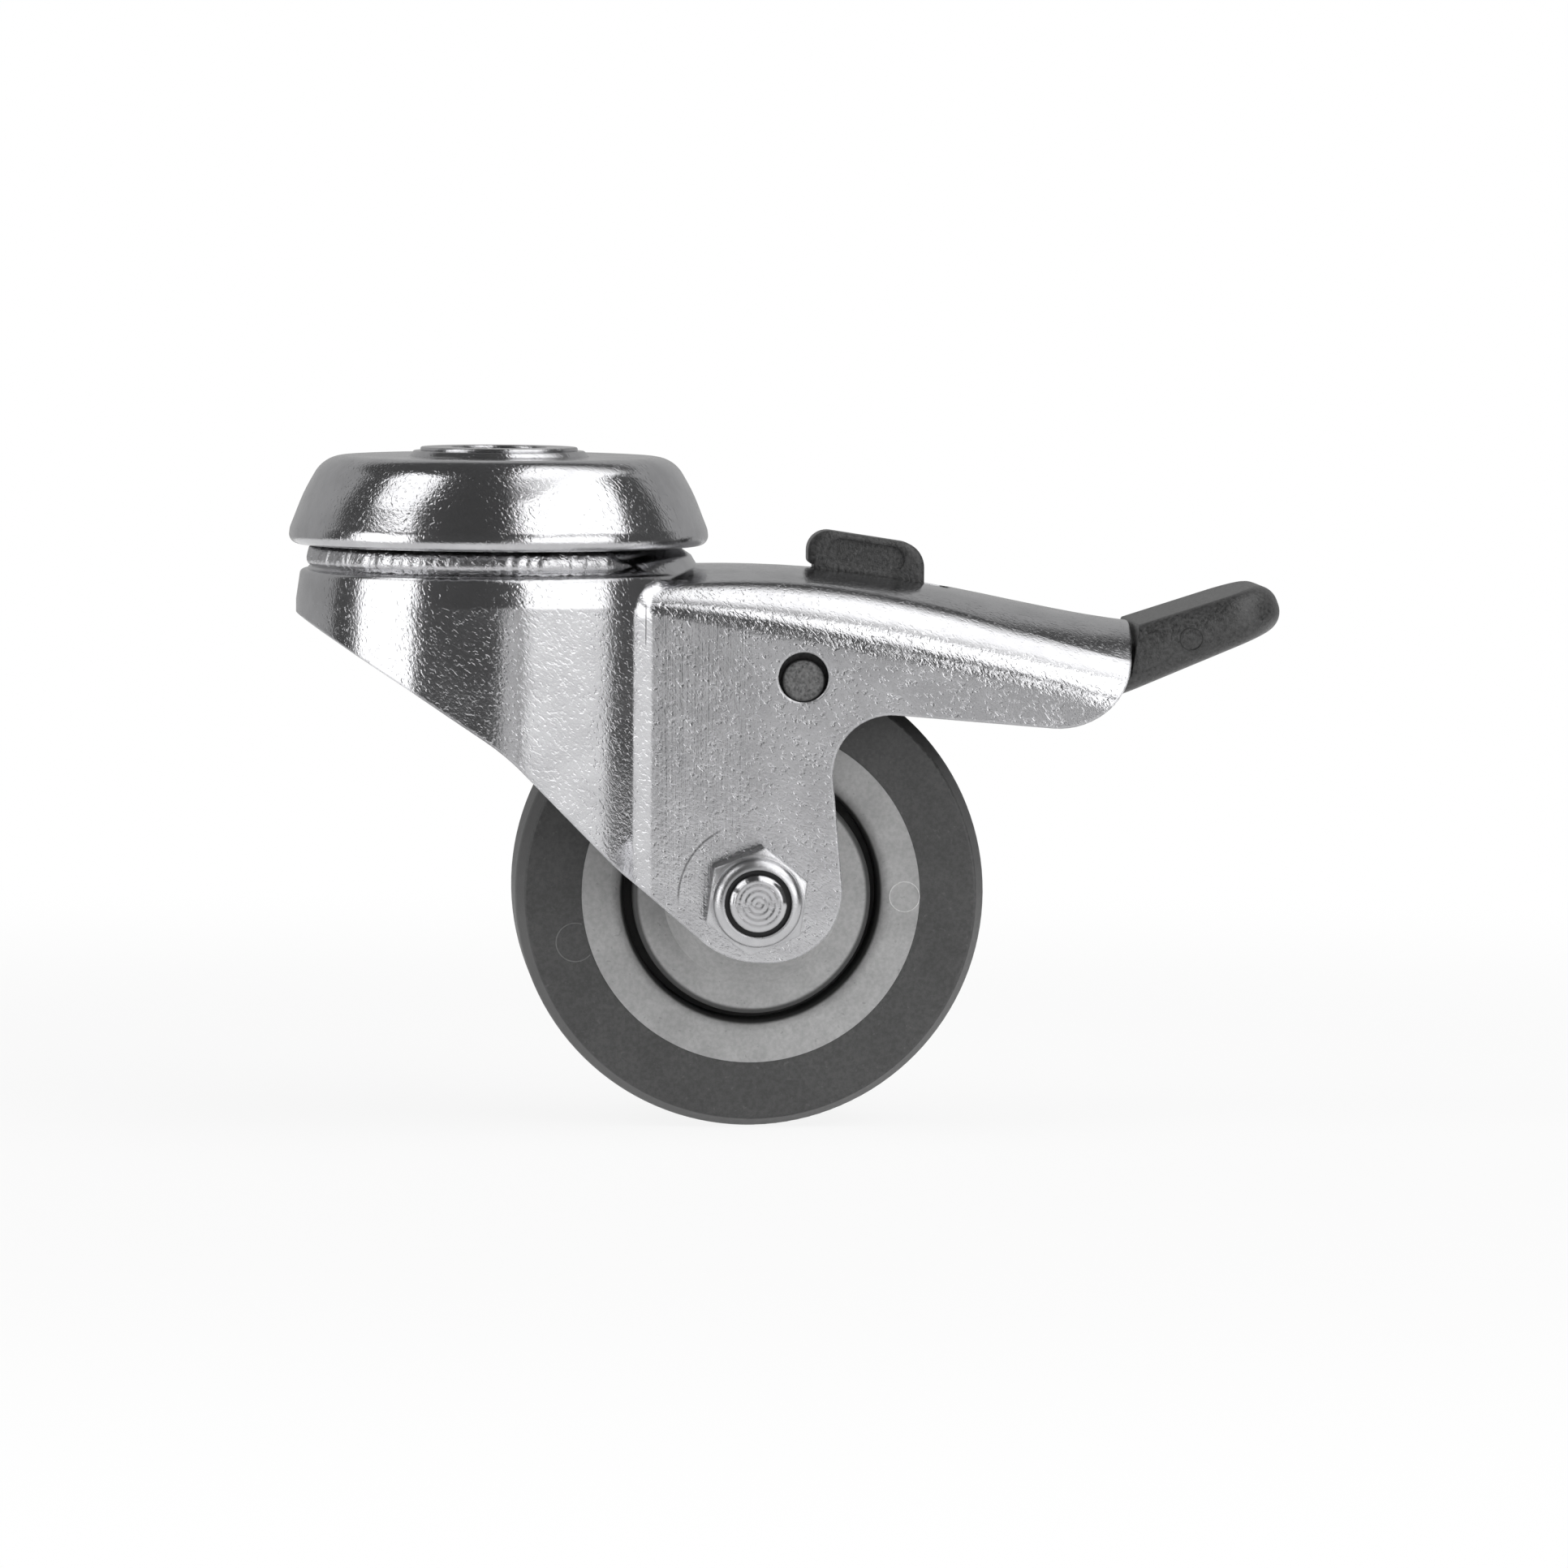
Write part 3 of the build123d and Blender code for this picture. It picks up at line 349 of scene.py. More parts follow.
def dark_arc_by_nut(material, where, shade):
    """Shade with a darker arc on the near cheek, on the nut's -X side and above it."""
    reach = from_line(material, where, AXLE)
    place = add_node(material, "ShaderNodeSeparateXYZ", {0: where.outputs["Object"]})
    middle = sum(DARK_ARC_RADIUS) / 2
    end = AXLE.x - DARK_ARC_END
    arc = faded(
        material, 1.0,
        (reach, DARK_ARC_RADIUS[0], middle, *RISE),
        (reach, middle, DARK_ARC_RADIUS[1], *FALL),
        (place.outputs["Z"], AXLE.z - DARK_ARC_FADE, AXLE.z + DARK_ARC_FADE, *RISE),
        (place.outputs["X"], end - DARK_ARC_FADE, end + DARK_ARC_FADE, *FALL),
        (place.outputs["Y"], -DARK_ARC_FADE, DARK_ARC_FADE, *FALL))
    return faded(material, shade, (arc, 0.0, 1.0, 1.0, DARK_ARC_SHADE))


def painted_fold_shade(material, where, shade):
    """Shade with painted shade for the short fold that the press left up the near side's hollow."""
    place = add_node(material, "ShaderNodeSeparateXYZ", {0: where.outputs["Object"]})
    line = faded(
        material, 1.0,
        (place.outputs["X"], FOLD_X - FOLD_WIDTH, FOLD_X, *RISE),
        (place.outputs["X"], FOLD_X, FOLD_X + FOLD_WIDTH, *FALL),
        (place.outputs["Z"], FOLD_LOW, FOLD_LOW + FOLD_FADE, *RISE),
        (place.outputs["Z"], FOLD_HIGH - FOLD_FADE, FOLD_HIGH, *FALL),
        (place.outputs["Y"], -FOLD_FADE, FOLD_FADE, *FALL))
    return faded(material, shade, (line, 0.0, 1.0, 1.0, FOLD_SHADE))


# Rings on the bolt's cut end, which is on the near side
TURNING_DEPTH = 0.007 * MM
TURNING_FADE = 1.0 * MM


def turned_rings(material, where, height):
    """Height in metres with the rings added that the cutting tool left on the bolt's near end."""
    spacing = bpy.context.scene.castor_sizes.turning
    turns = add_node(
        material, "ShaderNodeMath",
        {0: from_line(material, where, AXLE), 1: 2 * math.pi / spacing}, operation="MULTIPLY")
    wave = add_node(material, "ShaderNodeMath", {0: turns.outputs[0]}, operation="COSINE")
    place = add_node(material, "ShaderNodeSeparateXYZ", {0: where.outputs["Object"]})
    rings = faded(
        material, wave.outputs[0], (place.outputs["Y"], -TURNING_FADE, 0.0, TURNING_DEPTH, 0.0))
    turned = add_node(material, "ShaderNodeMath", {0: height, 1: rings}, operation="ADD")
    return turned.outputs[0]


# Roughness of the plating's dull and bright patches: on sheet and bar, on the scored ring, on forgings
BRIGHT = (0.16, 0.1)
SCORED = (0.26, 0.18)
FORGED = (0.32, 0.24)

# Shade of those patches, and the rays that look for an edge to soften
CLOUD_SHADE = (0.86, 1.0)
EDGE_SAMPLES = 4


def plated_steel(name, grain, roughness, *, pressed_fork=False, turned=False):
    """Bright zinc over cold-rolled steel: a grey mirror, broken up by the sheet's slanting flecks.

    grain is the flecks' height against the sheet's, and roughness goes from dull patches to bright ones.
    The pressed fork also has the die's drag lines, painted shade for a fold beside its drum and a darker
    arc beside its nut. The turned bolt has rings on its cut end.
    """
    colours = bpy.context.scene.castor_colours
    sizes = bpy.context.scene.castor_sizes
    material = new_material(name)
    where = add_node(material, "ShaderNodeTexCoord")
    clouds = add_node(
        material, "ShaderNodeTexNoise",
        {"Vector": where.outputs["Object"], "Scale": 1 / CLOUD_SIZE, "Detail": 3.0, "Roughness": 0.6})
    height = zinc_grain(material, where, grain)
    shade = faded(material, 1.0, (clouds.outputs["Fac"], *NOISE_RANGE, *CLOUD_SHADE))
    rough = faded(material, 1.0, (clouds.outputs["Fac"], *NOISE_RANGE, *roughness))
    if pressed_fork:
        height = drawn_lines(material, where, height)
        shade = dark_arc_by_nut(material, where, shade)
        # Painted shade: a dark line for the fold beside the drum
        shade = painted_fold_shade(material, where, shade)
    if turned:
        height = turned_rings(material, where, height)
    rolled = add_node(material, "ShaderNodeBevel", {"Radius": sizes.edge_round}, samples=EDGE_SAMPLES)
    bump = add_node(
        material, "ShaderNodeBump",
        {"Height": height, "Strength": 1.0, "Distance": 1.0, "Normal": rolled.outputs[0]})
    tint = add_node(
        material, "ShaderNodeVectorMath", {0: tuple(colours.zinc), "Scale": shade}, operation="SCALE")
    shader = add_node(
        material, "ShaderNodeBsdfPrincipled",
        {"Base Color": tint.outputs[0], "Metallic": 1.0, "Roughness": rough, "Normal": bump.outputs[0]})
    return finish_material(material, shader)


# Rubbing marks on the bearing steel, drawn coarser than real so that they show
RUB_SIZE = 0.5 * MM
RUB_ROUGHNESS = (0.08, 0.2)


def ground_steel():
    """Hardened bearing steel, ground and lapped: an even mirror with faint rubbing marks."""
    colours = bpy.context.scene.castor_colours
    material = new_material("ground_bearing_steel")
    where = add_node(material, "ShaderNodeTexCoord")
    marks = add_node(
        material, "ShaderNodeTexNoise",
        {"Vector": where.outputs["Object"], "Scale": 1 / RUB_SIZE, "Detail": 4.0, "Roughness": 0.7})
    rough = add_node(
        material, "ShaderNodeMapRange",
        {"Value": marks.outputs["Fac"], "From Min": NOISE_RANGE[0], "From Max": NOISE_RANGE[1],
         "To Min": RUB_ROUGHNESS[0], "To Max": RUB_ROUGHNESS[1]})
    shader = add_node(
        material, "ShaderNodeBsdfPrincipled",
        {"Base Color": (*colours.ground_steel, 1.0), "Metallic": 1.0, "Roughness": rough.outputs[0]})
    return finish_material(material, shader)


# Mouldings: slow clouds from the melt's flow, specks, and how far the mould's texture changes the
# roughness
FLOW_SIZE = 5.0 * MM
FLOW_SHADE = (0.9, 1.08)
SPECK_SIZE = 0.55 * MM
SPECK_EDGE = (0.72, 0.76)
SKIN_ROUGHNESS = 0.07

# Brake lever: the ends of its pivot bosses, pitted where the gate was broken off and painted paler as
# painted light, and its soft edges
BOSS_PAINTED_LIGHT = 2.6
BOSS_EDGE_SHARE = 0.9
GATE_PIT_SIZE = 0.8 * MM
GATE_PIT_DEPTH = 0.12 * MM
LEVER_EDGE = 0.9 * MM

# Wheel's groove: radii between which painted shade darkens it, on the wheel centre and on the guard
RIM_GROOVE = (14.1 * MM, 13.75 * MM)
GUARD_GROOVE = (11.9 * MM, 12.3 * MM)
GROOVE_SHADE = (1.0, 0.12)


def broken_gate_and_painted_light(material, where, shade, height):
    """Shade and height in metres, the lever's boss ends pitted and painted paler as painted light."""
    place = add_node(material, "ShaderNodeSeparateXYZ", {0: where.outputs["Object"]})
    out = add_node(material, "ShaderNodeMath", {0: place.outputs["Y"]}, operation="ABSOLUTE")
    reach = from_line(material, where, PIVOT)
    end = faded(
        material, 1.0,
        (reach, BOSS_EDGE_SHARE * PIVOT_BOSS_RADIUS, PIVOT_BOSS_RADIUS, *FALL),
        (out.outputs[0], *PIVOT_BOSS_END, *RISE))
    pits = add_node(
        material, "ShaderNodeTexNoise",
        {"Vector": where.outputs["Object"], "Scale": 1 / GATE_PIT_SIZE, "Detail": 3.0, "Roughness": 0.6})
    torn = add_node(
        material, "ShaderNodeMath", {0: end, 1: pits.outputs["Fac"]}, operation="MULTIPLY")
    pitted = add_node(
        material, "ShaderNodeMath", {0: torn.outputs[0], 1: GATE_PIT_DEPTH, 2: height},
        operation="MULTIPLY_ADD")
    return faded(material, shade, (end, 0.0, 1.0, 1.0, BOSS_PAINTED_LIGHT)), pitted.outputs[0]


def moulded(
        name, colour, roughness, texture, depth, speck=1.35, mottle_and_glint=0.1, lever=False, groove=None):
    """Moulded plastic or rubber: an even body colour with faint flow clouds and the mould's fine texture.

    texture is the size of the mould's texture, drawn coarser than real so that it shows, and depth its
    height. The texture changes the colour by up to the share mottle_and_glint, and specks of dust or wear
    by the share speck; on the lever that share is large, as painted glints of its sheen. A lever has soft
    edges, and pitted ends on its bosses where the gate was broken off, painted paler as painted light.
    Painted shade darkens a wheel's groove between the two radii of groove, from unshaded to shaded.
    """
    material = new_material(name)
    where = add_node(material, "ShaderNodeTexCoord")
    skin = add_node(
        material, "ShaderNodeTexNoise",
        {"Vector": where.outputs["Object"], "Scale": 1 / texture, "Detail": 3.0, "Roughness": 0.65})
    flow = add_node(
        material, "ShaderNodeTexNoise",
        {"Vector": where.outputs["Object"], "Scale": 1 / FLOW_SIZE, "Detail": 4.0, "Roughness": 0.6})
    specks = add_node(
        material, "ShaderNodeTexNoise",
        {"Vector": where.outputs["Object"], "Scale": 1 / SPECK_SIZE, "Detail": 1.0})
    shade = faded(
        material, 1.0,
        (flow.outputs["Fac"], *NOISE_RANGE, *FLOW_SHADE),
        (skin.outputs["Fac"], *NOISE_RANGE, 1 - mottle_and_glint, 1 + mottle_and_glint),
        (specks.outputs["Fac"], *SPECK_EDGE, 1.0, speck))
    rough = faded(
        material, 1.0,
        (skin.outputs["Fac"], *NOISE_RANGE, roughness - SKIN_ROUGHNESS, roughness + SKIN_ROUGHNESS))
    grained = add_node(
        material, "ShaderNodeMath", {0: skin.outputs["Fac"], 1: depth}, operation="MULTIPLY")
    height = grained.outputs[0]
    facing = {}
    if lever:
        # Boss ends: real pits, and a paler colour painted in as painted light
        shade, height = broken_gate_and_painted_light(material, where, shade, height)
        soft = add_node(material, "ShaderNodeBevel", {"Radius": LEVER_EDGE}, samples=EDGE_SAMPLES)
        facing["Normal"] = soft.outputs[0]
    if groove:
        # Painted shade in the wheel's groove, between the wheel centre and the guard
        reach = from_line(material, where, AXLE)
        shade = faded(material, shade, (reach, *groove, *GROOVE_SHADE))
    tint = add_node(
        material, "ShaderNodeVectorMath", {0: tuple(colour), "Scale": shade}, operation="SCALE")
    bump = add_node(
        material, "ShaderNodeBump", {"Height": height, "Strength": 1.0, "Distance": 1.0, **facing})
    shader = add_node(
        material, "ShaderNodeBsdfPrincipled",
        {"Base Color": tint.outputs[0], "Roughness": rough, "Normal": bump.outputs[0]})
    return finish_material(material, shader)


def add_piece(name, points, faces, body, material):
    """Mesh piece that rides on a body and takes the finish it is given."""
    mesh = bpy.data.meshes.new(name)
    mesh.from_pydata(points, [], faces)
    form = bmesh.new()
    form.from_mesh(mesh)
    bmesh.ops.recalc_face_normals(form, faces=form.faces)
    form.to_mesh(mesh)
    form.free()
    mesh.shade_smooth()
    mesh.materials.append(material)
    piece = bpy.data.objects.new(name, mesh)
    bpy.context.scene.collection.objects.link(piece)
    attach(piece, body)
    return piece


# Rings of the ejector pins: facets round and across, half the arc of a whole one in degrees, height against
# width, and tone against the moulding: paler on the wheel as a painted highlight, darker on the pedal as
# painted shade
RING_STEPS = 72
SECTION_STEPS = 8
WHOLE_RING = 180
MARK_HEIGHT_SHARE = 0.4
RIM_FLASH_HIGHLIGHT = 1.5
TYRE_FLASH_HIGHLIGHT = 2.4
PEDAL_FLASH_SHADE = 0.4

# y from which a CAD node's near side is looked for
RAY_START = -1.0


def tube_faces(count, sides, closed):
    """Faces of a tube of count sections with so many sides, joined end to end (closed) or capped."""
    faces = []
    for step in range(count if closed else count - 1):
        for part in range(sides):
            here = step * sides
            there = (step + 1) % count * sides
            beside = (part + 1) % sides
            faces.append((here + part, there + part, there + beside, here + beside))
    if not closed:
        faces.append(tuple(range(sides)))
        faces.append(tuple(range((count - 1) * sides, count * sides)))
    return faces


def toned(colour, share):
    """Paler or darker tone of a colour."""
    return [min(share * part, 1.0) for part in colour]


def on_near_side(node, x, z):
    """Point and outward direction where a CAD node is met first from the near side at x and z."""
    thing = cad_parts[node]
    back = thing.matrix_world.inverted()
    start = back @ Vector((x, RAY_START, z))
    hit, place, normal, _ = thing.ray_cast(start, back.to_3x3() @ -NEAR)
    if not hit:
        raise RuntimeError(f"Nothing of {node} at x {x:.4f}, z {z:.4f}")
    return thing.matrix_world @ place, thing.matrix_world.to_3x3() @ normal


def round_axle(reach, degrees):
    """x and z of a place round the axle, the angle counted up from +X."""
    turn = math.radians(degrees)
    return AXLE.x + reach * math.cos(turn), AXLE.z + reach * math.sin(turn)


def pin_mark(name, node, x, z, half_arc, diameter, body, slot, material):
    """Fine raised ring that an ejector pin leaves on a CAD node's near side, round x and z.

    The ring reaches half_arc degrees either way from the direction that points away from the axle.
    """
    line = bpy.context.scene.castor_sizes.mark_line
    centre, out = on_near_side(node, x, z)
    along = Vector((x - AXLE.x, 0.0, z - AXLE.z))
    along = (along - out * along.dot(out)).normalized()
    across = out.cross(along)
    closed = half_arc >= WHOLE_RING
    count = RING_STEPS if closed else RING_STEPS + 1
    points = []
    for step in range(count):
        turn = math.radians(half_arc) * (2 * step / RING_STEPS - 1)
        spoke = along * math.cos(turn) + across * math.sin(turn)
        for part in range(SECTION_STEPS):
            lean = 2 * math.pi * part / SECTION_STEPS
            reach = diameter / 2 + line / 2 * math.cos(lean)
            points.append(centre + spoke * reach + out * (MARK_HEIGHT_SHARE * line * math.sin(lean)))
    return add_piece(name, points, tube_faces(count, SECTION_STEPS, closed), body, material)


# Scored ring round the fork's head, under the cap, in millimetres and degrees: radius and height of its
# section from the top down, ending inside the sheet, the height of its tips, how far it reaches round
# either way from -X, over how much of that it runs out to a point, and the size of its scores
TRACK_PROFILE = (
    (18.7, -10.15), (19.5, -10.2), (19.95, -10.4), (20.2, -10.8), (20.35, -11.3), (20.45, -11.8),
    (20.42, -12.2), (20.25, -12.5), (20.0, -12.66), (18.7, -12.66))
TRACK_TIP = -12.1
TRACK_REACH = 134.0
TRACK_POINT = 11.0
TRACK_STEPS = 1200
TRACK_THINNEST = 0.01
SCORE_SIZE = 0.6
SCORE_DEPTH = 0.16
SCORE_DRIFT = 0.12

# Outside of the fork's head behind that ring: radius and height at its top, at its step and at its foot
HEAD_LINE = ((18.15, -7.15), (19.05, -11.4), (20.5, -13.05))


def head_radius(height):
    """Radius of the fork's head at a height, in millimetres."""
    (top_r, top), (step_r, step), (foot_r, foot) = HEAD_LINE
    if height > step:
        return top_r + (step_r - top_r) * (top - height) / (top - step)
    return step_r + (foot_r - step_r) * (step - height) / (step - foot)


def track_ring(material):
    """Raised ring round the fork's head, scored by the press and pointed at both ends."""
    points = []
    for step in range(TRACK_STEPS + 1):
        degrees = TRACK_REACH * (2 * step / TRACK_STEPS - 1)
        turn = math.radians(degrees)
        full = min((TRACK_REACH - abs(degrees)) / TRACK_POINT + TRACK_THINNEST, 1.0)
        for part, (reach, height) in enumerate(TRACK_PROFILE):
            stand = reach - head_radius(height)
            height = TRACK_TIP + (height - TRACK_TIP) * full
            if stand > 0:
                along = Vector((reach * turn / SCORE_SIZE, SCORE_DRIFT * part, 0.0))
                stand += SCORE_DEPTH * noise.noise(along)
            reach = head_radius(height) + stand * full
            points.append(Vector((-reach * math.cos(turn), -reach * math.sin(turn), height)) * MM)
    faces = tube_faces(TRACK_STEPS + 1, len(TRACK_PROFILE), False)
    return add_piece("track_ring", points, faces, "fork", material)


class CASTOR_OT_pressings(bpy.types.Operator):
    """Plate the fork, cap, lower race and hollow rivet, and add the scored ring under the cap"""

    bl_idname = "castor.pressings"
    bl_label = "Plate the Pressings"

    def execute(self, context):
        # Deep-drawn sheet: a bright mirror with the die's streaks, darker in an arc beside the nut,
        # and with painted shade for a fold by the drum
        drawn = plated_steel("zinc_plated_drawn_steel", grain=1.0, roughness=BRIGHT, pressed_fork=True)
        # Pressed sheet: the same mirror without streaks
        pressed = plated_steel("zinc_plated_pressed_steel", grain=1.0, roughness=BRIGHT)
        # Sheet scored by the press: coarse and duller, so its highlights break up
        scored = plated_steel("zinc_plated_scored_steel", grain=3.0, roughness=SCORED)
        dress(drawn, "fork")
        dress(pressed, "top_cap", "lower_race", "hollow_rivet")
        track_ring(scored)
        return {"FINISHED"}


class CASTOR_OT_fasteners(bpy.types.Operator):
    """Plate the axle bolt, its nut and its sleeve, and turn the bolt's end"""

    bl_idname = "castor.fasteners"
    bl_label = "Plate the Fasteners"

    def execute(self, context):
        # Turned bar: smoother than sheet, with rings on its cut end
        turned = plated_steel("zinc_plated_turned_steel", grain=0.5, roughness=BRIGHT, turned=True)
        # Cold-forged blanks: as smooth, but duller
        forged = plated_steel("zinc_plated_forged_steel", grain=0.5, roughness=FORGED)
        dress(turned, "axle_bolt")
        dress(forged, "axle_nut", "axle_sleeve")
        return {"FINISHED"}


class CASTOR_OT_bearings(bpy.types.Operator):
    """Polish the balls, rings and shields of the bearings"""

    bl_idname = "castor.bearings"
    bl_label = "Polish the Bearings"

    def execute(self, context):
        dress(
            ground_steel(),
            "upper_balls", "lower_balls", "bearing_outer_ring", "bearing_inner_ring", "bearing_balls",
            "bearing_shield_near", "bearing_shield_far")
        return {"FINISHED"}


class CASTOR_OT_wheel(bpy.types.Operator):
    """Colour the tyre, wheel centre, thread guards and nylon rings, and mark the pin rings"""

    bl_idname = "castor.wheel"
    bl_label = "Colour the Wheel"

    def execute(self, context):
        colours = context.scene.castor_colours
        sizes = context.scene.castor_sizes
        # Soft rubber from a matt mould: an even dark grey with a dull sheen and pale dust
        rubber = moulded(
            "thermoplastic_rubber_moulded", colours.tyre,
            roughness=0.5, texture=0.4 * MM, depth=0.012 * MM, mottle_and_glint=0.22)
        # Polypropylene from a fine-textured mould: a satin mid grey with darker specks
        centre = moulded(
            "polypropylene_moulded", colours.rim,
            roughness=0.5, texture=0.5 * MM, depth=0.008 * MM, speck=0.8, groove=RIM_GROOVE)
        cover = moulded(
            "polypropylene_pressed_guard", colours.guard,
            roughness=0.5, texture=0.5 * MM, depth=0.008 * MM, speck=0.8, groove=GUARD_GROOVE)
        # Turned nylon: near black, a little shinier than the rest of the wheel
        ring = moulded(
            "nylon_turned", colours.insert, roughness=0.45, texture=0.3 * MM, depth=0.005 * MM)
        dress(rubber, "tyre")
        dress(centre, "wheel_rim")
        dress(cover, "thread_guard_near", "thread_guard_far")
        dress(ring, "nut_insert", "bearing_cage")
        # The thin flash round a pin is painted paler than the moulding, as a painted highlight where its
        # raised line catches the light
        line = moulded(
            "polypropylene_pin_flash_highlight", toned(colours.rim, RIM_FLASH_HIGHLIGHT),
            roughness=0.5, texture=0.3 * MM, depth=0.003 * MM)
        pin_mark(
            "rim_pin_mark", "wheel_rim", *round_axle(*RIM_MARK_PLACE), WHOLE_RING, sizes.rim_mark,
            "wheel", "grey_plastic", line)
        line = moulded(
            "thermoplastic_rubber_pin_flash_highlight", toned(colours.tyre, TYRE_FLASH_HIGHLIGHT),
            roughness=0.5, texture=0.3 * MM, depth=0.003 * MM)
        pin_mark(
            "tyre_pin_mark", "tyre", *round_axle(*TYRE_MARK_PLACE), TYRE_MARK_ARC, sizes.tyre_mark,
            "wheel", "grey_rubber", line)
        return {"FINISHED"}


class CASTOR_OT_brake(bpy.types.Operator):
    """Colour the brake lever and mark its pin ring"""

    bl_idname = "castor.brake"
    bl_label = "Colour the Brake Lever"

    def execute(self, context):
        colours = context.scene.castor_colours
        sizes = context.scene.castor_sizes
        # Glass-filled nylon from a spark-eroded mould: black with a grey, grainy sheen and pale specks;
        # the sheen's glints are painted into the colour as a strong mottle
        black = moulded(
            "glass_filled_nylon_moulded", colours.lever,
            roughness=0.34, texture=0.4 * MM, depth=0.08 * MM, speck=1.7, mottle_and_glint=0.5, lever=True)
        dress(black, "brake_lever")
        # The flash round the pin has little of the pale grain, and is painted darker than the moulding as
        # painted shade along its line
        line = moulded(
            "glass_filled_nylon_pin_flash_shade", toned(colours.lever, PEDAL_FLASH_SHADE),
            roughness=0.4, texture=0.3 * MM, depth=0.003 * MM)
        pin_mark(
            "pedal_pin_mark", "brake_lever", *PEDAL_MARK_PLACE, WHOLE_RING, sizes.pedal_mark,
            "brake", "black_plastic", line)
        return {"FINISHED"}


def stage_mesh(name, points, faces, material):
    """Mesh of the stage, which isn't part of the castor."""
    mesh = bpy.data.meshes.new(name)
    mesh.from_pydata(points, [], faces)
    mesh.materials.append(material)
    thing = bpy.data.objects.new(name, mesh)
    bpy.context.scene.collection.objects.link(thing)
    return thing


def towards(azimuth, elevation):
    """Unit vector from the castor towards a place round it, azimuth 0 being the -Y side."""
    turn = math.radians(azimuth)
    lift = math.radians(elevation)
    return Vector((math.sin(turn) * math.cos(lift), -math.cos(turn) * math.cos(lift), math.sin(lift)))


def set_floor():
    """Round sheet of white paper that keeps the castor's shadow and fades into the white round it."""
    material = new_material("white_paper")
    where = add_node(material, "ShaderNodeTexCoord")
    reach = add_node(material, "ShaderNodeVectorMath", {0: where.outputs["Object"]}, operation="LENGTH")
    glow = add_node(
        material, "ShaderNodeMapRange",
        {"Value": reach.outputs["Value"], "From Min": FLOOR_FADE[0], "From Max": FLOOR_FADE[1],
         "To Min": FLOOR_GLOW[0], "To Max": FLOOR_GLOW[1]},
        interpolation_type="SMOOTHSTEP")
    path = add_node(material, "ShaderNodeLightPath")
    seen = add_node(
        material, "ShaderNodeMath",
        {0: path.outputs["Is Camera Ray"], 1: path.outputs["Is Glossy Ray"]}, operation="MAXIMUM")
    seen = add_node(
        material, "ShaderNodeMath",
        {0: seen.outputs[0], 1: path.outputs["Is Transmission Ray"]}, operation="MAXIMUM")
    share = add_node(
        material, "ShaderNodeMath", {0: seen.outputs[0], 1: glow.outputs[0]}, operation="MULTIPLY")
    paper = add_node(
        material, "ShaderNodeBsdfPrincipled",
        {"Base Color": (*[PAPER_WHITE] * 3, 1.0), "Roughness": 0.9})
    white = add_node(material, "ShaderNodeEmission", {"Color": (1.0, 1.0, 1.0, 1.0), "Strength": 1.0})
    mix = add_node(
        material, "ShaderNodeMixShader", {0: share.outputs[0], 1: paper.outputs[0], 2: white.outputs[0]})
    finish_material(material, mix)
    rim = []
    for step in range(FLOOR_STEPS):
        turn = 2 * math.pi * step / FLOOR_STEPS
        rim.append((FLOOR_RADIUS * math.cos(turn), FLOOR_RADIUS * math.sin(turn), 0.0))
    floor = stage_mesh("floor", rim, [tuple(range(FLOOR_STEPS))], material)
    floor.location = (AXLE.x, AXLE.y, cad_box[0].z)


def set_tent():
    """Dark card round the front and the top, for dark bands in the bright steel, and a scrim behind."""
    card = new_material("dark_grey_card")
    shader = add_node(
        card, "ShaderNodeBsdfPrincipled", {"Base Color": (*linear(CARD_COLOUR), 1.0), "Roughness": 0.9})
    finish_material(card, shader)
    scrim = new_material("grey_scrim")
    shader = add_node(scrim, "ShaderNodeBsdfTransparent", {"Color": (*[SCRIM_LIGHT] * 3, 1.0)})
    finish_material(scrim, shader)
    rounds, lifts = TENT_STEPS
    points = []
    for lift in range(lifts + 1):
        for step in range(rounds):
            points.append(towards(360 * step / rounds, 180 * lift / lifts - 90) * TENT_RADIUS)
    front, behind = [], []
    for lift in range(lifts):
        for step in range(rounds):
            beside = (step + 1) % rounds
            face = (lift * rounds + step, lift * rounds + beside,
                    (lift + 1) * rounds + beside, (lift + 1) * rounds + step)
            centre = sum((points[corner] for corner in face), Vector()).normalized()
            if centre.z > TENT_FOOT:
                covered = centre.y < TENT_BACK or centre.z > TENT_TOP
                (front if covered else behind).append(face)
    for name, faces, material in (("tent", front, card), ("scrim", behind, scrim)):
        sheet = stage_mesh(name, points, faces, material)
        sheet.visible_camera = False


def add_box(name, width, height, radiance, place, turn):
    """Soft box of a given brightness."""
    light = bpy.data.lights.new(name, "AREA")
    light.shape = "RECTANGLE"
    light.size = width
    light.size_y = height
    light.energy = radiance * math.pi * width * height
    lamp = bpy.data.objects.new(name, light)
    lamp.location = CAMERA_TARGET + place
    lamp.rotation_mode = "QUATERNION"
    lamp.rotation_quaternion = turn
    lamp.visible_camera = False
    bpy.context.scene.collection.objects.link(lamp)


def set_lights():
    """Soft boxes on either side of the camera and overhead."""
    for name, (azimuth, elevation, width, height, radiance) in SIDE_BOXES.items():
        back = towards(azimuth, elevation)
        add_box(name, width, height, radiance, back * SIDE_DISTANCE, (-back).to_track_quat("-Z", "Y"))
    x, y, width, depth, radiance = TOP_BOX
    for share in TOP_SHEETS:
        place = Vector((x, y, TOP_HEIGHT + (1 - share) * TOP_SHEET_STEP))
        add_box("top_box", width, depth * share, radiance / len(TOP_SHEETS), place, FACING_DOWN)


def set_world(scene):
    """Plain white all round."""
    world = bpy.data.worlds.new("white")
    scene.world = world
    world.use_nodes = True
    world.node_tree.nodes.clear()
    white = add_node(world, "ShaderNodeBackground", {"Color": (1.0, 1.0, 1.0, 1.0), "Strength": 1.0})
    add_node(world, "ShaderNodeOutputWorld", {"Surface": white.outputs[0]})


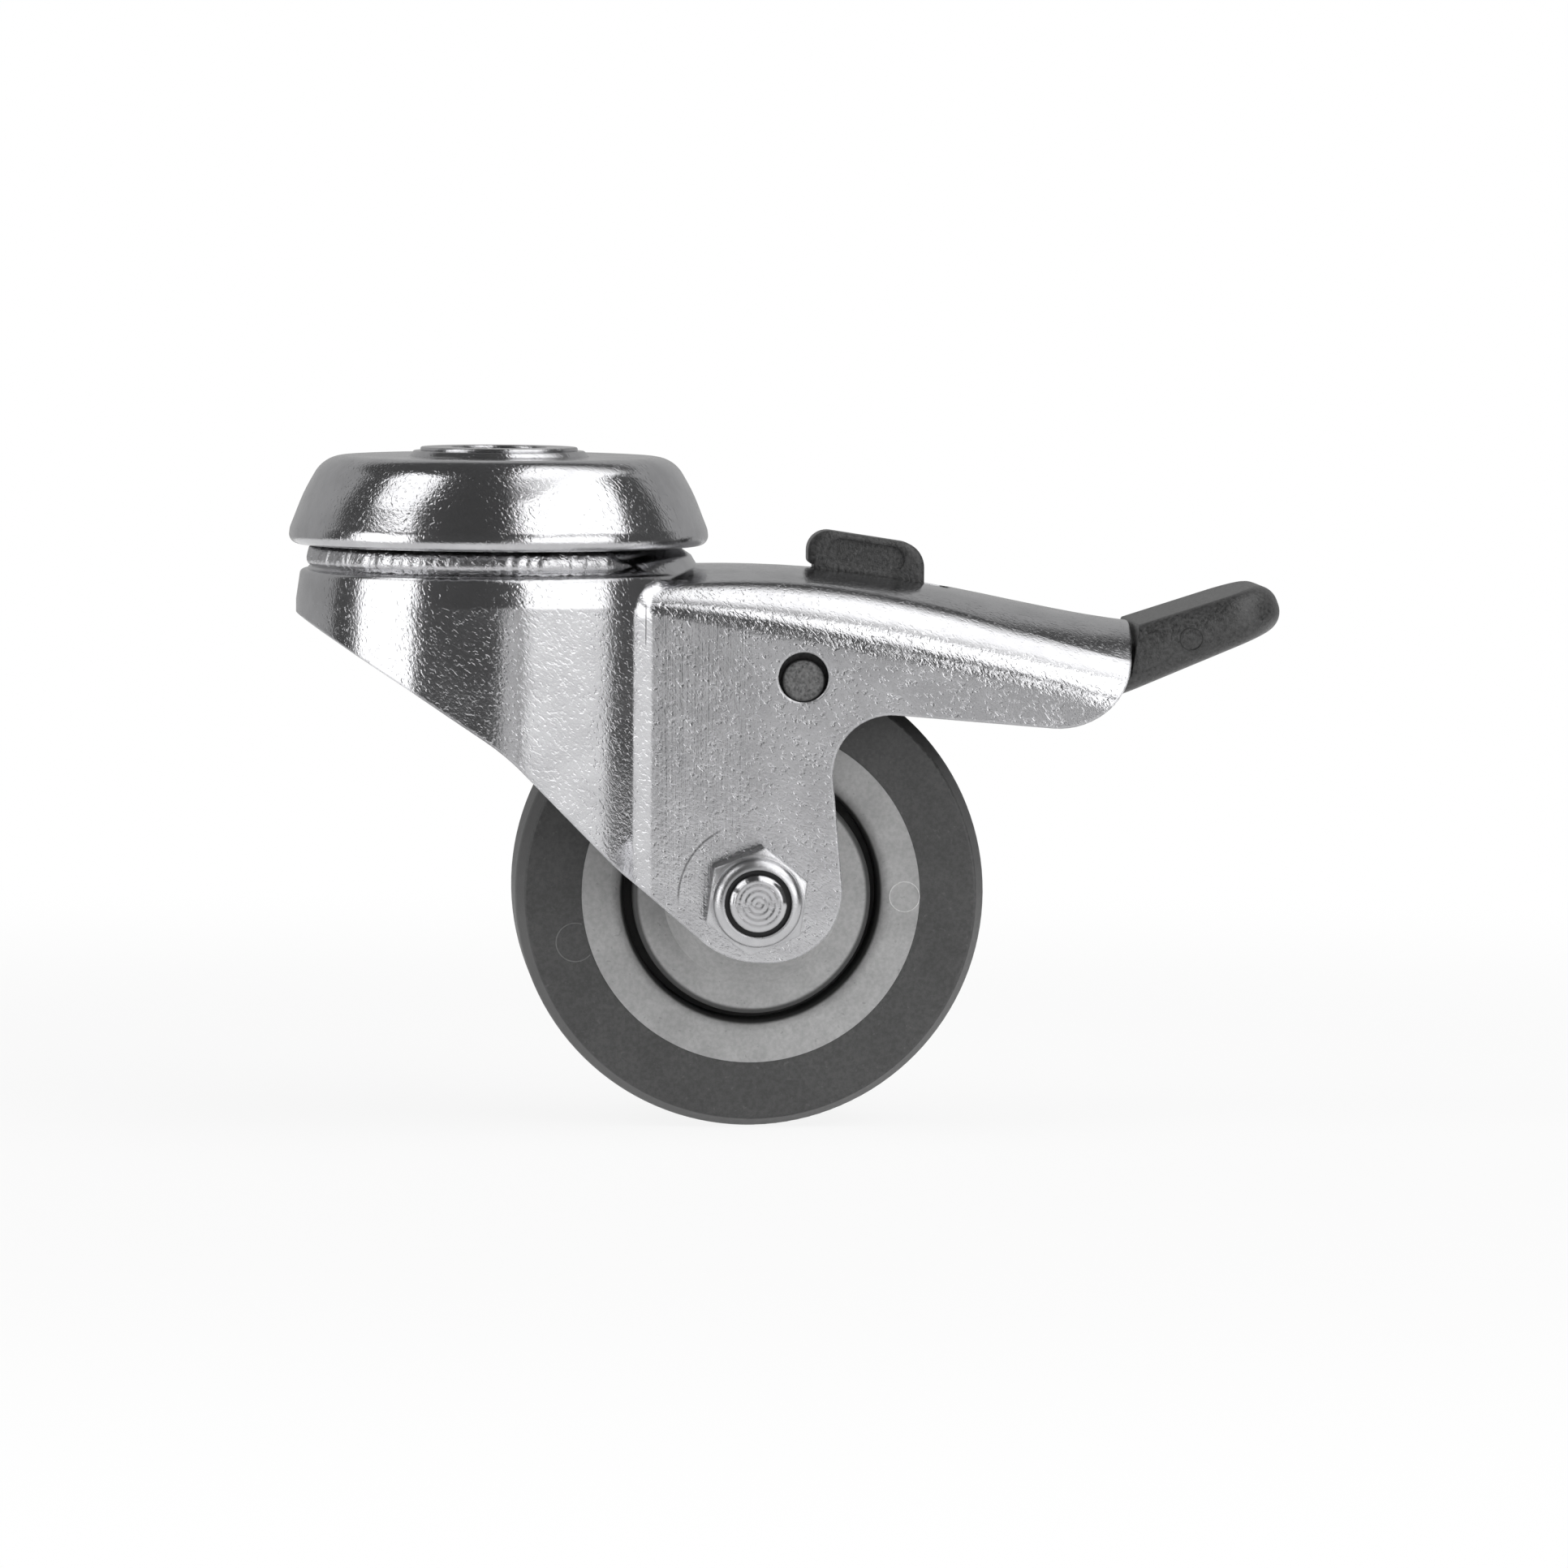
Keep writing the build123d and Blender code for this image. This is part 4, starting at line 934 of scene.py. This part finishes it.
def set_camera(scene):
    """Camera at the photograph's place and angle."""
    data = bpy.data.cameras.new("photo_camera")
    data.sensor_width = SENSOR_WIDTH
    frame_width = PHOTO_PIXELS / PIXELS_PER_MM * MM
    data.lens = SENSOR_WIDTH * CAMERA_DISTANCE / frame_width
    data.clip_start = CAMERA_NEAREST
    camera = bpy.data.objects.new("photo_camera", data)
    back = towards(CAMERA_AZIMUTH, CAMERA_ELEVATION)
    camera.location = CAMERA_TARGET + back * CAMERA_DISTANCE
    camera.rotation_mode = "QUATERNION"
    roll = Matrix.Rotation(math.radians(CAMERA_ROLL), 3, "Z").to_quaternion()
    camera.rotation_quaternion = (-back).to_track_quat("-Z", "Y") @ roll
    scene.collection.objects.link(camera)
    scene.camera = camera


class CASTOR_OT_stage(bpy.types.Operator):
    """Set the floor, the tent, the lights and the camera"""

    bl_idname = "castor.stage"
    bl_label = "Set the Stage"

    def execute(self, context):
        set_floor()
        set_tent()
        set_lights()
        set_world(context.scene)
        set_camera(context.scene)
        context.scene.view_settings.view_transform = "Standard"
        return {"FINISHED"}


class CASTOR_PT_panel(bpy.types.Panel):
    """Sidebar panel with the castor's steps, sizes and colours"""

    bl_idname = "CASTOR_PT_panel"
    bl_label = "Swivel Castor"
    bl_space_type = "VIEW_3D"
    bl_region_type = "UI"
    bl_category = "Castor"

    def draw(self, context):
        for step in STEPS:
            self.layout.operator(step.bl_idname)
        for group in (context.scene.castor_sizes, context.scene.castor_colours):
            for name in type(group).__annotations__:
                self.layout.prop(group, name)


STEPS = (
    CASTOR_OT_pressings, CASTOR_OT_fasteners, CASTOR_OT_bearings, CASTOR_OT_wheel, CASTOR_OT_brake,
    CASTOR_OT_stage)
CLASSES = (CastorColours, CastorSizes, *STEPS, CASTOR_PT_panel)


def register():
    """Adds the classes and the scene's settings."""
    for entry in CLASSES:
        bpy.utils.register_class(entry)
    bpy.types.Scene.castor_colours = bpy.props.PointerProperty(type=CastorColours)
    bpy.types.Scene.castor_sizes = bpy.props.PointerProperty(type=CastorSizes)


def unregister():
    """Takes the settings and the classes away."""
    del bpy.types.Scene.castor_sizes
    del bpy.types.Scene.castor_colours
    for entry in reversed(CLASSES):
        bpy.utils.unregister_class(entry)


def main():
    """Runs every step."""
    register()
    bpy.ops.castor.pressings()
    bpy.ops.castor.fasteners()
    bpy.ops.castor.bearings()
    bpy.ops.castor.wheel()
    bpy.ops.castor.brake()
    bpy.ops.castor.stage()


if __name__ == "__main__":
    main()
